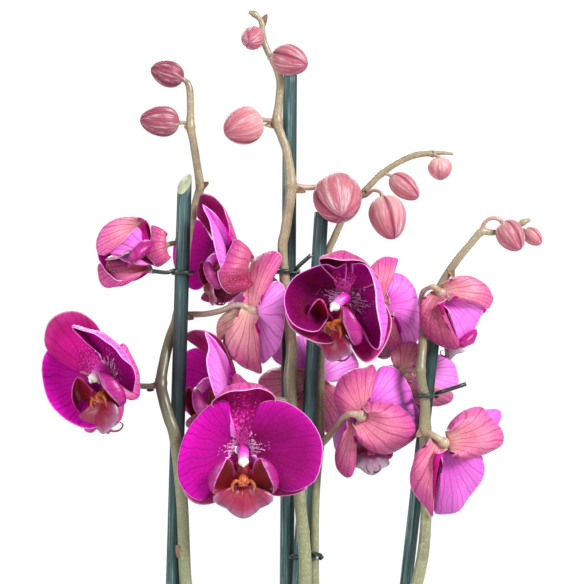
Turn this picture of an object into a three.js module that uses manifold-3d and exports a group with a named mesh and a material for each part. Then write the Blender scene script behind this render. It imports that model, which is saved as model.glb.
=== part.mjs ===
import * as THREE from 'three';
import { ConvexGeometry } from 'three/addons/geometries/ConvexGeometry.js';
import { mergeVertices } from 'three/addons/utils/BufferGeometryUtils.js';
import Module from 'manifold-3d';

// Potted moth orchid, in millimetres, +Z up.
// The origin is the centre of the pot's foot, the viewer stands on the -Y side and +X is to the right.

// Pot and potting bark
const POT_RADIUS = 80;
const POT_HEIGHT = 138;
const POT_FOOT_RADIUS = 62;
const POT_WALL = 6;
const POT_FLOOR = 9;
const RIM_BAND = 20;
const BARK_LEVEL = 116;
const BARK_CHIPS = 6;

// Bamboo stakes
const STAKE_RADIUS = 4;
const THIN_STAKE_RADIUS = 3.5;
const STAKE_FOOT = 70;

// Plants
const CROWN_RADIUS = 12;
const CROWN_FOOT = 78;
const CROWN_TOP = 137;
const LEAF_THICK = 2.6;
const BLADE_THICK = 1;
const HUB_RADIUS = 3.2;
const GAP = 0.35;

// The flowers, buds, stems and stakes are placed on a front view of the plant, drawn on a square grid.
// A place is [column, row, depth]: rows count downwards, depth is in mm towards the viewer, and one grid
// step measures GRID mm on the plane of the pot's axis, seen from SIGHT mm in front of it.
const GRID = 0.55;
const SIGHT = 1000;
const SIGHT_COLUMN = 292;
const SIGHT_ROW = 292;
const SIGHT_X = 12;
const SIGHT_Z = 410;

// Radial share of a petal where its fold line lies
const FOLD = 0.75;

// Lip and column of every flower, in mm right, up and forward of the lip's foot
const LIP_SIDE = {
  claw: [1.5, -11, 4],
  bulge: 1.5,
  rim: [[8, -16, 4], [17, -15.5, 5], [19, -9, 8], [16, 0, 10], [10.5, 4.5, 11], [5.5, 1.5, 11], [5.5, -6, 8]],
};
const LIP_MIDDLE = {
  claw: [0, -11, 4],
  bulge: 2,
  rim: [[5, -12, 6], [14, -16, 9], [15, -21, 9], [7, -27, 8], [0, -27.5, 8], [-7, -27, 8], [-15, -21, 9],
    [-14, -16, 9], [-5, -12, 6]],
};
const LIP_NECK = [[0, 1.5, 1.5], [0, -6, 1.5], [0, -13, 5]];
const LIP_NECK_RADII = [2, 2.8, 3.4];
const COLUMN_LINE = [[0, 6, 2], [0, 4.5, 7], [0, 2.5, 9.5]];
const COLUMN_RADII = [3, 3.1, 3, 2.5];

// Shape numbers shared by all copies of a piece
const MERGE = 1e-3;
const SMOOTHING = 0.45;
const FINE = 0.2;
const CLAW_SINK = 0.6;
const CLAW_START = 0.06;
const CLAW_REACH = 0.16;
const CLAW_RADII = [1.8, 1];
const BUD_SIDES = 9;
const BUD_RINGS = 5;
const BUD_SEAM = 0.08;
const BRACT_RADII = [1.5, 0.35];
const WIRE_RADIUS = 1.3;
const ROOT_RADIUS = 2.4;
const LEAF_WIDTHS = [0.2, 0.42, 0.72, 0.93, 1, 0.96, 0.78, 0.14];
const LEAF_KEEL = 0.3;
const GOLDEN_ANGLE = 2.39996;

// Flowers: hub behind the petals; lip foot with the azimuth, elevation and roll that it faces and its size;
// and three sepals and two petals, each from its claw to the points of its rim. back marks a petal whose back
// is to the viewer, bulge is how far it bows to the viewer, and fold is the line where its rim turns over.
const BLOOMS = [
  {
    name: 'bloom_1',
    hub: [108, 377, 8],
    lip: [108, 380, 12, -42, -4, 12, 1],
    tepals: [
      {
        kind: 'sepal', back: false, claw: [102, 372, 8], bulge: 3,
        rim: [[90, 371, 8], [64, 364, 4], [46, 348, 2], [46, 327, 2], [58, 314, 4], [76, 311, 7],
          [92, 319, 11], [102, 334, 13], [106, 356, 12]],
      },
      {
        kind: 'petal', back: false, claw: [98, 374, 10], bulge: -6,
        rim: [[112, 396, 13], [110, 416, 17], [91, 429, 18], [66, 420, 14], [48, 400, 9],
          [41.5, 372, 4], [46, 352, 2], [56, 347, 4], [70, 359, 7], [84, 367, 9]],
      },
      {
        kind: 'petal', back: false, claw: [110, 374, 10], bulge: -3,
        rim: [[100, 355, 16], [86, 341, 22], [72, 327.5, 27], [86, 331, 34], [100, 337, 38],
          [111, 345, 40], [121, 356, 40], [131, 367, 37], [135, 378, 32], [134, 392, 24]],
        fold: [[101, 357, 14], [88, 340, 18], [75, 326, 22], [91, 330, 27], [104, 333.5, 30],
          [117, 344, 31], [127, 357, 31], [133.5, 369, 29], [136, 382, 25], [131, 392, 20]],
      },
      {
        kind: 'sepal', back: true, claw: [116, 378, 6], bulge: 3,
        rim: [[116, 352, 8], [121, 344, 9], [126, 345, 9], [133, 358, 8], [139, 372, 7], [140, 385, 6],
          [139, 397, 6], [130, 400, 8], [122, 392, 8]],
      },
      {
        kind: 'sepal', back: true, claw: [112, 386, 6], bulge: 3,
        rim: [[122, 394, 7], [124, 406, 7], [121, 420, 8], [110, 428.5, 10], [98, 429, 11],
          [91, 433, 11], [84, 429, 10], [88, 410, 6], [100, 394, 5]],
      },
    ],
  },
  {
    name: 'bloom_2',
    hub: [162, 247, 1],
    lip: [148, 263, 1, -70, 75, 0, 0.8],
    tepals: [
      {
        kind: 'sepal', back: false, claw: [157, 250, -3], bulge: -3,
        rim: [[152, 240, -5], [150, 228, -7], [146, 220, -8], [139, 221, -7], [135, 228, -4],
          [128, 242, -2], [134, 256, 0], [146, 262, 0]],
      },
      {
        kind: 'sepal', back: true, claw: [138, 226, -3], bulge: 5,
        rim: [[137, 222, -2], [129, 218, 1], [116, 218.5, 4], [104, 226, 6], [97, 238, 7],
          [96, 248, 8], [99, 254, 8], [105, 255, 9], [111, 252, 9]],
      },
      {
        kind: 'petal', back: true, claw: [153, 259, 0], bulge: 2,
        rim: [[145, 248, 3], [141, 238, 4], [138, 227, 4], [124, 239, 5], [110, 252, 6], [120, 259, 8],
          [130, 263, 9], [141, 265, 8], [150, 264, 4]],
      },
      {
        kind: 'sepal', back: true, claw: [166, 247, 1], bulge: 5,
        rim: [[161, 233, 2], [151, 225, 3], [151, 236, 6], [147, 252, 9], [152, 262, 8], [158, 267, 5],
          [165, 260, 2]],
      },
      {
        kind: 'petal', back: false, claw: [150, 262, -6], bulge: -7,
        rim: [[122, 248, -8], [106, 248, -3], [97.5, 250, 1], [99, 259, 3], [104, 268, 5],
          [110, 275, 6], [118, 281, 6], [132, 277, -2]],
      },
      {
        kind: 'sepal', back: true, claw: [150, 268, -3], bulge: 3,
        rim: [[139, 277, -1], [126, 284, 2], [112, 287, 3], [103, 286, 3], [98, 276, 1], [99, 264, -3],
          [114, 266, -7], [132, 266, -7]],
      },
    ],
  },
  {
    name: 'bloom_3',
    hub: [238, 264, -6],
    lip: [222, 266, -4, -76, -6, 0, 0.75],
    tepals: [
      {
        kind: 'sepal', back: false, claw: [230, 256, -6], bulge: -4,
        rim: [[212, 236, -13], [203, 225, -11], [196, 213, -8], [198, 202, -6], [202, 193.5, -4],
          [212, 196, 1], [221, 205, 4], [227, 220, 5], [230, 240, 2]],
      },
      {
        kind: 'petal', back: false, claw: [218, 256, -10], bulge: -6,
        rim: [[212, 240, -16], [205, 227, -24], [196, 219, -28], [184, 224, -33], [175, 240, -35],
          [172, 256, -35], [176, 273, -35], [186, 286, -33], [197, 290, -28], [210, 280, -18]],
      },
      {
        kind: 'petal', back: true, claw: [229, 262, -3], bulge: 2,
        rim: [[230, 246, 3], [225, 230, 8], [217, 216, 11], [208, 208, 13], [203, 204.5, 13],
          [205, 210, 16], [210, 222, 20], [212, 232, 22], [216, 250, 21], [221, 268, 14]],
      },
      {
        kind: 'sepal', back: true, claw: [246, 270, -4], bulge: 7,
        rim: [[243, 256, -1], [238, 245, 3], [234, 238.5, 5], [229, 249, 9], [221, 268, 14],
          [217, 273, 15], [222, 287, 13], [232, 294, 8], [243, 287, 1]],
      },
      {
        kind: 'sepal', back: true, claw: [240, 276, -9], bulge: 2,
        rim: [[246, 284, -6], [240, 293, -7], [228, 302, -9], [212, 303, -12], [201, 299, -15],
          [208, 290, -16], [226, 284, -12]],
      },
    ],
  },
  {
    name: 'bloom_4',
    hub: [251.3, 311.2, 4],
    lip: [250, 329, -9, 190, -8, 0, 0.75],
    tepals: [
      {
        kind: 'sepal', back: true, claw: [254, 310, 3], bulge: 4,
        rim: [[249, 301, 1], [247, 282, -4], [250, 266, -8], [259, 255, -6], [270, 250, -2],
          [278, 252, 2], [281.5, 258, 3], [279, 268, 3.5], [272, 282, 2.5], [263, 298, 2]],
      },
      {
        kind: 'petal', back: true, claw: [257, 314, 4], bulge: 3,
        rim: [[262, 305, 2], [268, 291, 0], [273, 282, -2], [280, 282, 0], [285, 289, 2],
          [285.5, 306, 3], [284, 326, 3], [280, 345, 2], [272, 356, 0], [262, 364, -2], [262, 348, 0],
          [262, 332, 3]],
      },
      {
        kind: 'sepal', back: true, claw: [250, 312, 6], bulge: 8,
        rim: [[240, 314, 6], [231, 320, 4], [226, 331, 3], [226, 344, 2], [231, 356, 1], [241, 366, 0],
          [251, 370.5, -1], [261.5, 373.5, -2], [261, 362, 0], [262, 349, 2], [258, 334, 4],
          [254, 320, 5]],
      },
      {
        kind: 'sepal', back: true, claw: [245, 312, 2], bulge: 3,
        rim: [[238, 309, 1], [228, 311, -2], [219, 319, -6], [216.5, 330, -10], [218, 339, -12],
          [222, 340, -12], [227, 330, -7], [236, 318, -1]],
      },
      {
        kind: 'petal', back: true, claw: [250, 309, 0], bulge: 2,
        rim: [[250, 300, -2], [247, 284, -7], [240, 287, -16], [231, 300, -22], [227, 309, -20],
          [240, 309, -6]],
      },
    ],
  },
  {
    name: 'bloom_5',
    hub: [236, 392, -8],
    lip: [216, 393, -9, -76, -6, 0, 1],
    tepals: [
      {
        kind: 'sepal', back: false, claw: [232, 382, -8], bulge: -2,
        rim: [[220, 362, -16], [208, 350, -18], [197, 346, -16], [187, 339, -12], [187, 333, -9],
          [196, 329, -5], [207, 331, -1], [218, 338, 2], [226, 348, 3], [230, 362, 1], [233, 374, -3]],
      },
      {
        kind: 'petal', back: false, claw: [222, 388, -12], bulge: -6,
        rim: [[215, 364, -18], [205, 351, -24], [194, 348, -29], [182, 356, -34], [175, 376, -36],
          [177, 397, -35], [186, 411, -31], [196, 418, -25], [206, 411, -18], [214, 399, -13]],
      },
      {
        kind: 'petal', back: true, claw: [229, 392, -5], bulge: 2,
        rim: [[231, 376, 0], [227, 358, 4], [219, 345, 7], [211, 336, 9], [205, 332, 9],
          [208, 347, 13], [207, 360, 16], [209, 376, 18], [214, 395, 17], [222, 404, 10]],
      },
      {
        kind: 'sepal', back: true, claw: [240, 398, -6], bulge: 3,
        rim: [[232, 392, -2], [231, 386, 0], [236, 373, 3], [245, 380, 1], [253, 388, -2],
          [252, 398, -5]],
      },
      {
        kind: 'sepal', back: true, claw: [230, 398, -11], bulge: 2,
        rim: [[220, 402, -12], [206, 408, -15], [192, 416, -18], [186, 422, -20], [188, 428, -20],
          [200, 428, -18], [214, 422, -14], [228, 412, -11]],
      },
    ],
  },
  {
    name: 'bloom_6',
    hub: [242, 450, 20],
    lip: [243, 462, 26, 3, -6, 0, 1],
    tepals: [
      {
        kind: 'sepal', back: false, claw: [241, 446, 21], bulge: -3,
        rim: [[230, 436, 22], [222, 418, 26], [211, 403, 30], [227, 392, 36], [246, 391, 38],
          [262, 389, 37], [276, 400, 31], [260, 420, 25], [252, 436, 22]],
        fold: [[232, 438, 21], [225, 420, 23], [217, 405, 26], [226, 388, 30], [245, 383, 31],
          [263, 387, 30], [271, 400, 27], [256, 420, 23], [249, 437, 21]],
      },
      {
        kind: 'petal', back: false, claw: [235, 447, 23], bulge: 3,
        rim: [[222, 458, 24], [211, 478, 27], [205, 499, 30], [191, 497, 30], [179, 482, 29],
          [177.5, 460, 28], [185, 434, 26], [199, 415, 26], [213, 403, 28], [228, 401, 30],
          [226, 418, 27], [228, 434, 24]],
      },
      {
        kind: 'petal', back: false, claw: [249, 447, 23], bulge: 3,
        rim: [[256, 429, 25], [257, 410, 29], [264, 401.5, 31], [283, 401, 30], [304, 413, 29],
          [318, 431, 28], [323, 451, 28], [317, 478, 30], [304, 488, 31], [290, 491.5, 31],
          [276, 486, 30], [266, 468, 27], [257, 454, 24]],
      },
      {
        kind: 'sepal', back: false, claw: [236, 453, 19], bulge: 2,
        rim: [[234, 464, 19], [229, 484, 20], [216, 502, 23], [195, 503.5, 24], [183, 488, 22],
          [196, 466, 19], [222, 452, 18]],
      },
      {
        kind: 'sepal', back: false, claw: [248, 453, 19], bulge: 2,
        rim: [[262, 452, 18], [290, 464, 19], [308, 480, 21], [303, 491.5, 24], [286, 496, 25],
          [268, 493, 23], [254, 474, 19]],
      },
    ],
  },
  {
    name: 'bloom_7',
    hub: [346, 300, 12],
    lip: [347, 308, 18, -44, -7, -14, 1],
    tepals: [
      {
        kind: 'sepal', back: false, claw: [346, 293, 13], bulge: -5,
        rim: [[334, 279, 22], [319, 262, 33], [326, 258, 36], [340, 260, 37], [355, 260, 36],
          [366, 264, 33], [375, 273, 28], [378, 281, 24], [364, 288, 16]],
        fold: [[336, 280, 18], [321, 261, 26], [329, 254, 28], [342, 251.5, 28], [354, 255, 28],
          [364, 262, 26], [372, 272, 22], [373, 279, 18], [360, 289, 14]],
      },
      {
        kind: 'petal', back: false, claw: [340, 297, 14], bulge: -9,
        rim: [[330, 316, 18], [318, 331, 25], [301, 329, 31], [289, 319, 33], [284, 298, 33],
          [293, 279, 33], [308, 269, 33], [326, 264, 31], [337, 268, 29], [347, 264, 25], [346, 281, 19]],
      },
      {
        kind: 'petal', back: false, claw: [351, 300, 13], bulge: -6,
        rim: [[352, 264, 28], [363, 264, 33], [371, 275, 36], [375, 290, 38], [376, 303, 38],
          [379, 318, 38], [381, 334, 36], [377, 349, 32], [370, 344, 26], [360, 326, 19]],
        fold: [[352, 268, 21], [366, 267, 25], [376, 277, 27], [381, 291, 28], [384, 305, 28],
          [386.5, 318, 28], [385, 334, 28], [380, 347, 26], [368, 341, 20], [357, 320, 16]],
      },
      {
        kind: 'sepal', back: false, claw: [352, 306, 11], bulge: -3,
        rim: [[366, 300, 12], [384, 305, 15], [391, 317, 18], [391, 330, 20], [385, 346, 22],
          [376, 358, 23], [366, 362.5, 24], [357, 356, 23], [350, 342, 19], [347, 324, 14]],
      },
      {
        kind: 'sepal', back: false, claw: [341, 308, 11], bulge: -3,
        rim: [[318, 306, 12], [300, 304, 14], [286, 309, 18], [289, 325, 22], [300, 335, 23],
          [316, 342, 24], [332, 343, 22], [343, 330, 16]],
      },
    ],
  },
  {
    name: 'bloom_8',
    hub: [382, 308, -14],
    lip: [384, 322, -31, 165, -20, 0, 0.7],
    tepals: [
      {
        kind: 'sepal', back: true, claw: [381, 302, -15], bulge: 3,
        rim: [[373, 287, -18], [369, 272, -21], [374, 262, -23], [384, 256, -24], [392, 257, -24],
          [398, 259, -24], [393, 267, -23], [388, 278, -21], [384, 290, -18]],
      },
      {
        kind: 'petal', back: true, claw: [386, 307, -15], bulge: 4,
        rim: [[383, 291, -18], [387, 275, -22], [396, 272.5, -24], [407, 277, -26], [415, 289, -28],
          [420, 305, -30], [423, 321, -30], [421, 335, -28], [413, 346, -26], [404, 351, -24],
          [400, 335, -20], [393, 318, -17]],
      },
      {
        kind: 'sepal', back: true, claw: [384, 312, -15], bulge: 3,
        rim: [[394, 321, -17], [401, 337, -20], [405, 351, -23], [398, 353, -24], [388, 347, -24],
          [378, 340, -22], [374, 322, -18]],
      },
      {
        kind: 'petal', back: true, claw: [378, 309, -16], bulge: 3,
        rim: [[370, 300, -19], [354, 295, -24], [343, 305, -27], [344, 322, -28], [358, 331, -26],
          [371, 320, -20]],
      },
      {
        kind: 'sepal', back: true, claw: [380, 312, -16], bulge: 3,
        rim: [[374, 322, -19], [362, 332, -23], [358, 344, -26], [366, 352, -27], [378, 346, -25],
          [383, 330, -20]],
      },
    ],
  },
  {
    name: 'bloom_9',
    hub: [361, 416, 13],
    lip: [370, 437, -4, 190, -30, 0, 0.7],
    tepals: [
      {
        kind: 'sepal', back: true, claw: [362, 411, 9], bulge: 4,
        rim: [[352, 411, 4], [340, 414, 2], [335, 404, 1], [334, 392, 2], [340, 378, 0],
          [352, 369.5, -1], [364, 367.5, -1], [373, 364.5, -1], [376.5, 375, 0], [373, 390, 3],
          [366, 403, 6]],
      },
      {
        kind: 'petal', back: true, claw: [365, 412, 7], bulge: 4,
        rim: [[371, 393, 2], [376, 372, -3], [384, 366, -5], [394, 367.5, -7], [403, 376, -8],
          [410, 388, -8], [415, 402, -10], [421, 418, -10], [419, 429, -9], [408, 428, -2],
          [390, 422, 2]],
      },
      {
        kind: 'sepal', back: true, claw: [360, 417, 10], bulge: 9,
        rim: [[362, 407, 9], [372, 402, 8], [388, 402, 7], [402, 408, 6], [412.5, 418, 4],
          [418.5, 429, 2.5], [416.5, 437, 2], [404, 447, 0], [390, 453.5, -1], [376, 453, 1],
          [363, 446, 4], [354, 433, 7], [352, 422, 9]],
      },
      {
        kind: 'sepal', back: true, claw: [353, 424, 8], bulge: 4,
        rim: [[348, 428, 7], [340, 440, 5], [335, 454, 3], [337, 469, 1], [346, 477.5, 0],
          [353, 474, 0], [356, 460, 2], [354, 444, 5], [352, 433, 7]],
      },
      {
        kind: 'petal', back: true, claw: [357, 416, 4], bulge: 2,
        rim: [[350, 408, -6], [340, 413, -14], [333.5, 430, -20], [334, 446, -22], [341, 452, -18],
          [350, 438, -8]],
      },
    ],
  },
  {
    name: 'bloom_10',
    hub: [313, 379, -22],
    lip: [306, 392, -32, 182, -10, 2, 0.9],
    tepals: [
      {
        kind: 'petal', back: true, claw: [309, 374, -23], bulge: 3,
        rim: [[300, 370, -25], [284, 367, -28], [273, 359, -31], [271, 346, -34], [282, 338, -36],
          [296, 335, -36], [308, 338, -34], [311, 354, -29]],
      },
      {
        kind: 'sepal', back: true, claw: [309, 379, -22], bulge: 5,
        rim: [[302, 369, -24], [286, 366, -27], [268, 370, -30], [258, 381, -31], [265, 391, -30],
          [278, 401, -28], [292, 402, -26], [303, 392, -24]],
      },
      {
        kind: 'petal', back: true, claw: [317, 377, -22], bulge: 4,
        rim: [[316, 362, -25], [318, 346, -29], [330, 338, -32], [344, 342, -34], [354, 353, -34],
          [359, 366, -33], [352, 373, -31], [343, 380, -28], [330, 382, -24]],
      },
      {
        kind: 'sepal', back: true, claw: [317, 383, -22], bulge: 4,
        rim: [[328, 383, -23], [338, 389, -25], [341, 403, -27], [338, 420, -29], [331, 432.5, -30],
          [322, 430, -29], [314, 416, -27], [312, 398, -24]],
      },
      {
        kind: 'sepal', back: true, claw: [311, 384, -24], bulge: 3,
        rim: [[301, 394, -27], [292, 406, -30], [293, 420, -32], [303, 425, -32], [311, 411, -29],
          [315, 396, -26]],
      },
    ],
  },
  {
    name: 'bloom_11',
    hub: [402, 372, -12],
    lip: [410, 384, -29, 170, -20, 0, 0.75],
    tepals: [
      {
        kind: 'sepal', back: true, claw: [402, 369, -13], bulge: 3,
        rim: [[396, 366, -14], [391, 359, -15], [393, 350, -16], [402, 344, -17], [412, 341, -17],
          [420, 347, -17], [421, 359, -16], [411, 367, -14]],
      },
      {
        kind: 'petal', back: true, claw: [406, 373, -13], bulge: 4,
        rim: [[412, 363, -16], [428, 357, -20], [442, 354.5, -23], [453, 362, -24], [458, 376, -24],
          [457, 387, -22], [445, 393, -19], [425, 392, -16], [411, 384, -14]],
      },
      {
        kind: 'sepal', back: true, claw: [404, 376, -12], bulge: 4,
        rim: [[414, 378, -12], [430, 386, -14], [450, 390.5, -16], [453.5, 397, -17],
          [448, 403.5, -18], [436, 406.5, -18], [422, 405, -18], [411, 399, -17], [404, 388, -14]],
      },
      {
        kind: 'petal', back: true, claw: [398, 373, -15], bulge: 3,
        rim: [[393, 365, -18], [380, 368, -24], [373, 382, -28], [380, 398, -29], [394, 401, -26],
          [401, 388, -19]],
      },
      {
        kind: 'sepal', back: true, claw: [401, 377, -14], bulge: 3,
        rim: [[395, 384, -18], [386, 398, -24], [386, 412, -27], [396, 418, -27], [406, 408, -22],
          [406, 390, -16]],
      },
    ],
  },
  {
    name: 'bloom_12',
    hub: [441, 293, 2],
    lip: [457, 326, -4, 108, -32, 0, 0.64],
    tepals: [
      {
        kind: 'sepal', back: true, claw: [444, 293, 3], bulge: 7,
        rim: [[446, 286, 3], [455, 279, 2], [466, 276.5, 0], [478, 279.5, -2], [488, 287, -3],
          [493, 298, -3], [491, 305, -1], [487.5, 309, 0], [478, 306, 4], [462, 302, 6], [450, 297, 5]],
      },
      {
        kind: 'sepal', back: true, claw: [440, 295, 3], bulge: 8,
        rim: [[432, 296.5, 2], [424, 304, 0], [421, 316, -1], [422, 329, -1], [428, 338, 0],
          [440, 346, 2], [452, 350, 3], [460, 349, 4], [461, 345, 5], [455, 335, 7], [448, 318, 8],
          [441, 302, 6]],
      },
      {
        kind: 'petal', back: true, claw: [443, 297, 3], bulge: 4,
        rim: [[452, 299, 4], [466, 303, 3], [482, 308, 0], [480, 318, -1], [475, 328, -1],
          [470, 335, 0], [459, 341.5, 3], [455, 332, 6], [448, 314, 7]],
      },
      {
        kind: 'petal', back: false, claw: [447, 299, -2], bulge: -4,
        rim: [[468, 299, -10], [482, 304, -8], [487, 310, -6], [481, 316, -6], [474, 328, -9],
          [460, 324, -14]],
      },
      {
        kind: 'sepal', back: false, claw: [443, 297, -2], bulge: -3,
        rim: [[452, 306, -10], [459, 322, -14], [461, 338, -10], [454, 341, -9], [447, 334, -9],
          [445, 315, -8]],
      },
    ],
  },
  {
    name: 'bloom_13',
    hub: [444, 443, 14],
    lip: [444, 462, -6, 170, -12, 0, 0.9],
    tepals: [
      {
        kind: 'sepal', back: true, claw: [447, 441, 12], bulge: 8,
        rim: [[446, 430, 11], [451, 421, 9], [463, 411, 6], [478, 406.5, 3], [486, 410, 2],
          [492, 419, 1], [500, 427, 0], [504, 436, 0], [502, 444, 1], [495, 449.5, 2], [480, 456, 5],
          [462, 461, 8], [450, 455, 11]],
      },
      {
        kind: 'sepal', back: true, claw: [440, 443, 13], bulge: 7,
        rim: [[430, 445, 16], [417, 452, 14], [413, 463, 13], [410, 474, 12], [411, 487, 11],
          [420, 501, 10], [427, 509, 10], [433, 516.5, 10], [433, 500, 13], [433.5, 480, 15],
          [433, 462, 17], [436, 450, 17]],
      },
      {
        kind: 'petal', back: true, claw: [447, 449, 9], bulge: 5,
        rim: [[460, 459, 6], [481, 456, 2], [483, 462, 1], [484.5, 468, 0], [482, 480, -2],
          [475, 490, -3], [467, 500, -4], [459, 511, -4], [446, 514.5, -3], [434, 512, -1],
          [436, 490, 3], [441, 466, 6]],
      },
      {
        kind: 'petal', back: true, claw: [451, 440, 8], bulge: 2,
        rim: [[458, 428, 2], [474, 414, -3], [490, 409, -6], [501, 410.5, -7], [500, 421, -7],
          [488, 440, -4], [466, 447, 3]],
      },
      {
        kind: 'sepal', back: false, claw: [443, 450, 6], bulge: -3,
        rim: [[434, 458, 3], [432, 480, -2], [432, 500, -5], [436, 511, -6], [447, 500, -7],
          [450, 474, -3], [448, 458, 2]],
      },
    ],
  },
];

// Flower stems: [column, row, depth, radius], from the crown to the tip. Each stalk runs from the stem to
// a flower or bud and ends a gap short of it.
const SPIKES = [
  {
    name: 'flower_spike_a',
    stem: [
      [221, 786, 0, 3.8], [212, 700, 1, 3.7], [196, 630, 2, 3.6], [186, 584, 4, 3.4], [182, 500, 8, 3.3],
      [175.5, 440, 11, 3.3], [169, 418, 10, 3.2], [164, 400, 8, 3.2], [161, 383, 3, 3.1],
      [164.5, 360, -2, 2.9],
      [170, 338, -7, 2.8], [178, 315, -11, 2.7], [184, 280, -11, 2.6], [187, 240, -12, 2.5],
      [193, 215, -13, 2.4],
      [198, 196, -13, 2.5], [200, 186, -12, 2.6], [197, 165, -10, 2.2], [193, 140, -8, 2.2],
      [190.5, 127, -8, 2.5],
      [190.5, 110, -8, 2], [190, 92, -8, 2], [188, 84, -8, 1.7], [185, 80.5, -8, 1.4],
    ],
    stalks: [
      { to: 'bloom_1', path: [[161, 384, 3], [150, 386, 2], [139, 385.5, 1], [124, 382, 2]],
        radius: 1.7 },
      { to: 'bloom_2', path: [[187, 250, -11], [178, 244, -9], [171, 243.5, -5]], radius: 1.6 },
      { to: 'bloom_4', path: [[179, 316, -11], [190, 314.5, -10], [205, 314, -6], [220, 311, 0],
        [233, 306, 4],
        [243, 306, 6]], radius: 1.7 },
      { to: 'bud_2', path: [[190, 127, -8], [185, 123, -8]], radius: 1.1 },
    ],
    bracts: [[[152, 387, 1], [147, 391, 1]], [[186, 316, -9], [194, 319, -7]], [[201, 187, -11],
      [209, 182, -10]],
      [[181, 556, 8], [176, 545, 9]], [[189, 127, -7], [184, 127, -6]]],
  },
  {
    name: 'flower_spike_b',
    stem: [
      [239, 786, 0, 3.8], [258, 715, 1, 3.7], [288, 640, 3, 3.6], [305, 584, 5, 3.6], [300, 500, 3, 3.3],
      [294, 440, 0, 3.2], [290, 380, -3, 3.2], [291.5, 345, -4, 3], [286.5, 300, -4, 2.9],
      [282.5, 250, -4, 2.8],
      [285.5, 230, -4, 2.8], [290, 200, -4, 2.8], [291, 184, -4, 3], [287, 153, -4, 2.4],
      [281, 135, -4, 2.4],
      [277, 122, -4, 2.8], [279, 100, -4, 2.1], [280, 80, -4, 2.2], [274, 62, -4, 2], [268, 52, -4, 1.8],
      [263, 38, -4, 1.7], [262, 24, -4, 1.6], [259, 18.5, -4, 1.4], [254, 14, -4, 1.9],
      [249, 12, -4, 0.9],
    ],
    stalks: [
      { to: 'bloom_3', path: [[281, 289, -4], [274, 281, -10], [262, 269, -18], [251, 259, -16],
        [243, 256, -11]],
        radius: 1.6 },
      { to: 'bloom_5', path: [[288, 402, -2], [280, 400, 0], [262, 397, 0], [249, 394, -4]],
        radius: 1.6 },
      { to: 'bloom_6', path: [[292.5, 419, -1], [281, 425, 6], [266, 437, 11], [253, 445, 16]],
        radius: 1.7 },
      { to: 'bud_3', path: [[270, 58, -4], [272, 57, -1]], radius: 1.3 },
      { to: 'bud_4', path: [[262, 37, -4], [259.5, 36, -2]], radius: 1.2 },
      { to: 'bud_5', path: [[277, 121, -4], [268, 120.5, -4]], radius: 1.3 },
      { to: 'bud_6', path: [[292, 186, -4], [304, 187.5, -7], [318, 187, -10], [327, 184, -11]],
        radius: 1.6 },
    ],
    bracts: [[[262, 24, -4], [267, 14, -3]], [[276, 125, -4], [264, 125, -2]], [[296, 189, -4],
      [306, 192, -3]],
      [[303, 610, 5], [311, 598, 8]]],
  },
  {
    name: 'flower_spike_c',
    stem: [
      [323, 786, 0, 3.2], [319, 700, -5, 3], [314.5, 584, -9, 2.7], [315, 500, -11, 2.6],
      [319.5, 440, -13, 2.6],
      [320.5, 380, -15, 2.1], [322, 350, -15, 2], [325, 300, -15, 1.9], [328, 255, -15, 2],
      [334, 238, -15, 2],
      [345, 215, -15, 1.9], [357, 199, -15, 1.9], [370, 185, -14, 1.9], [381, 174, -14, 1.8],
      [397, 163, -13, 1.7],
      [414, 155.5, -12, 1.8], [430, 153.5, -11, 1.5], [442, 153, -11, 1], [453, 154, -11, 0.7],
    ],
    stalks: [
      { to: 'bloom_7', path: [[325, 303, -15], [331, 302, -11], [338, 300.5, -2]], radius: 1.6 },
      { to: 'bloom_8', path: [[324, 326, -15], [333, 325, -10], [352, 317, -7], [370, 311, -9]],
        radius: 1.5 },
      { to: 'bloom_9', path: [[320, 445, -12], [328, 437, -3], [336, 427, 4], [344, 417, 9],
        [352, 414, 13]],
        radius: 1.8 },
      { to: 'bloom_10', path: [[320.5, 386, -15], [319, 383.5, -17]], radius: 1.4 },
      { to: 'bud_7', path: [[431, 154, -11], [436, 155.5, -8]], radius: 1 },
      { to: 'bud_8', path: [[384, 173, -14], [389, 175, -13]], radius: 0.9 },
      { to: 'bud_9', path: [[361, 197, -14], [367, 195, -11], [373, 190.5, -9], [380, 192, -8]],
        radius: 1 },
    ],
    bracts: [[[430, 153, -10], [434, 157, -8]], [[363, 196, -14], [366, 190, -12]]],
  },
  {
    name: 'flower_spike_d',
    stem: [
      [341, 786, 0, 3.4], [354, 715, 9, 3.4], [386, 650, 10, 3.4], [411, 600, 9, 3.4], [422, 560, 8, 3.3],
      [426, 516, 6, 3.1], [426, 470, 5, 3], [425, 430, 6, 3.2], [425, 400, 8, 2.8], [422, 385, 9, 2.7],
      [420.5, 370, 9, 2.7], [422, 352, 6, 2.5], [423, 338, 0, 2.4], [423.5, 325, -6, 2.4],
      [424, 312, -9, 2.4],
      [431, 298, -10, 2.3], [440, 286, -10, 2.3], [450, 270, -8, 2.3], [460, 256, -6, 2.2],
      [471, 243, -4, 2.1], [481, 232, -3, 2.2],
      [491, 232.5, -4, 1.7], [503, 232, -9.5, 1.4], [514, 227, -12, 1.2], [522, 223, -12, 1.9],
      [530, 219.5, -12, 1],
    ],
    stalks: [
      { to: 'bloom_11', path: [[419, 371, 8], [414, 370, 4], [408, 370, -4]], radius: 1.6 },
      { to: 'bloom_12', path: [[424, 312, -9], [421, 303, -4], [422.5, 293, 2], [427, 288.5, 4],
        [434, 287, 6]],
        radius: 1.5 },
      { to: 'bloom_13', path: [[424, 433, 7], [429, 433.5, 11], [436, 437, 15]], radius: 1.8 },
      { to: 'bud_10', path: [[482, 231, -3], [485, 222, -1], [492, 218, 0], [499, 219.5, 0]],
        radius: 1.1 },
      { to: 'bud_11', path: [[514, 227, -12], [521, 229, -12]], radius: 0.7 },
    ],
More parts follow.
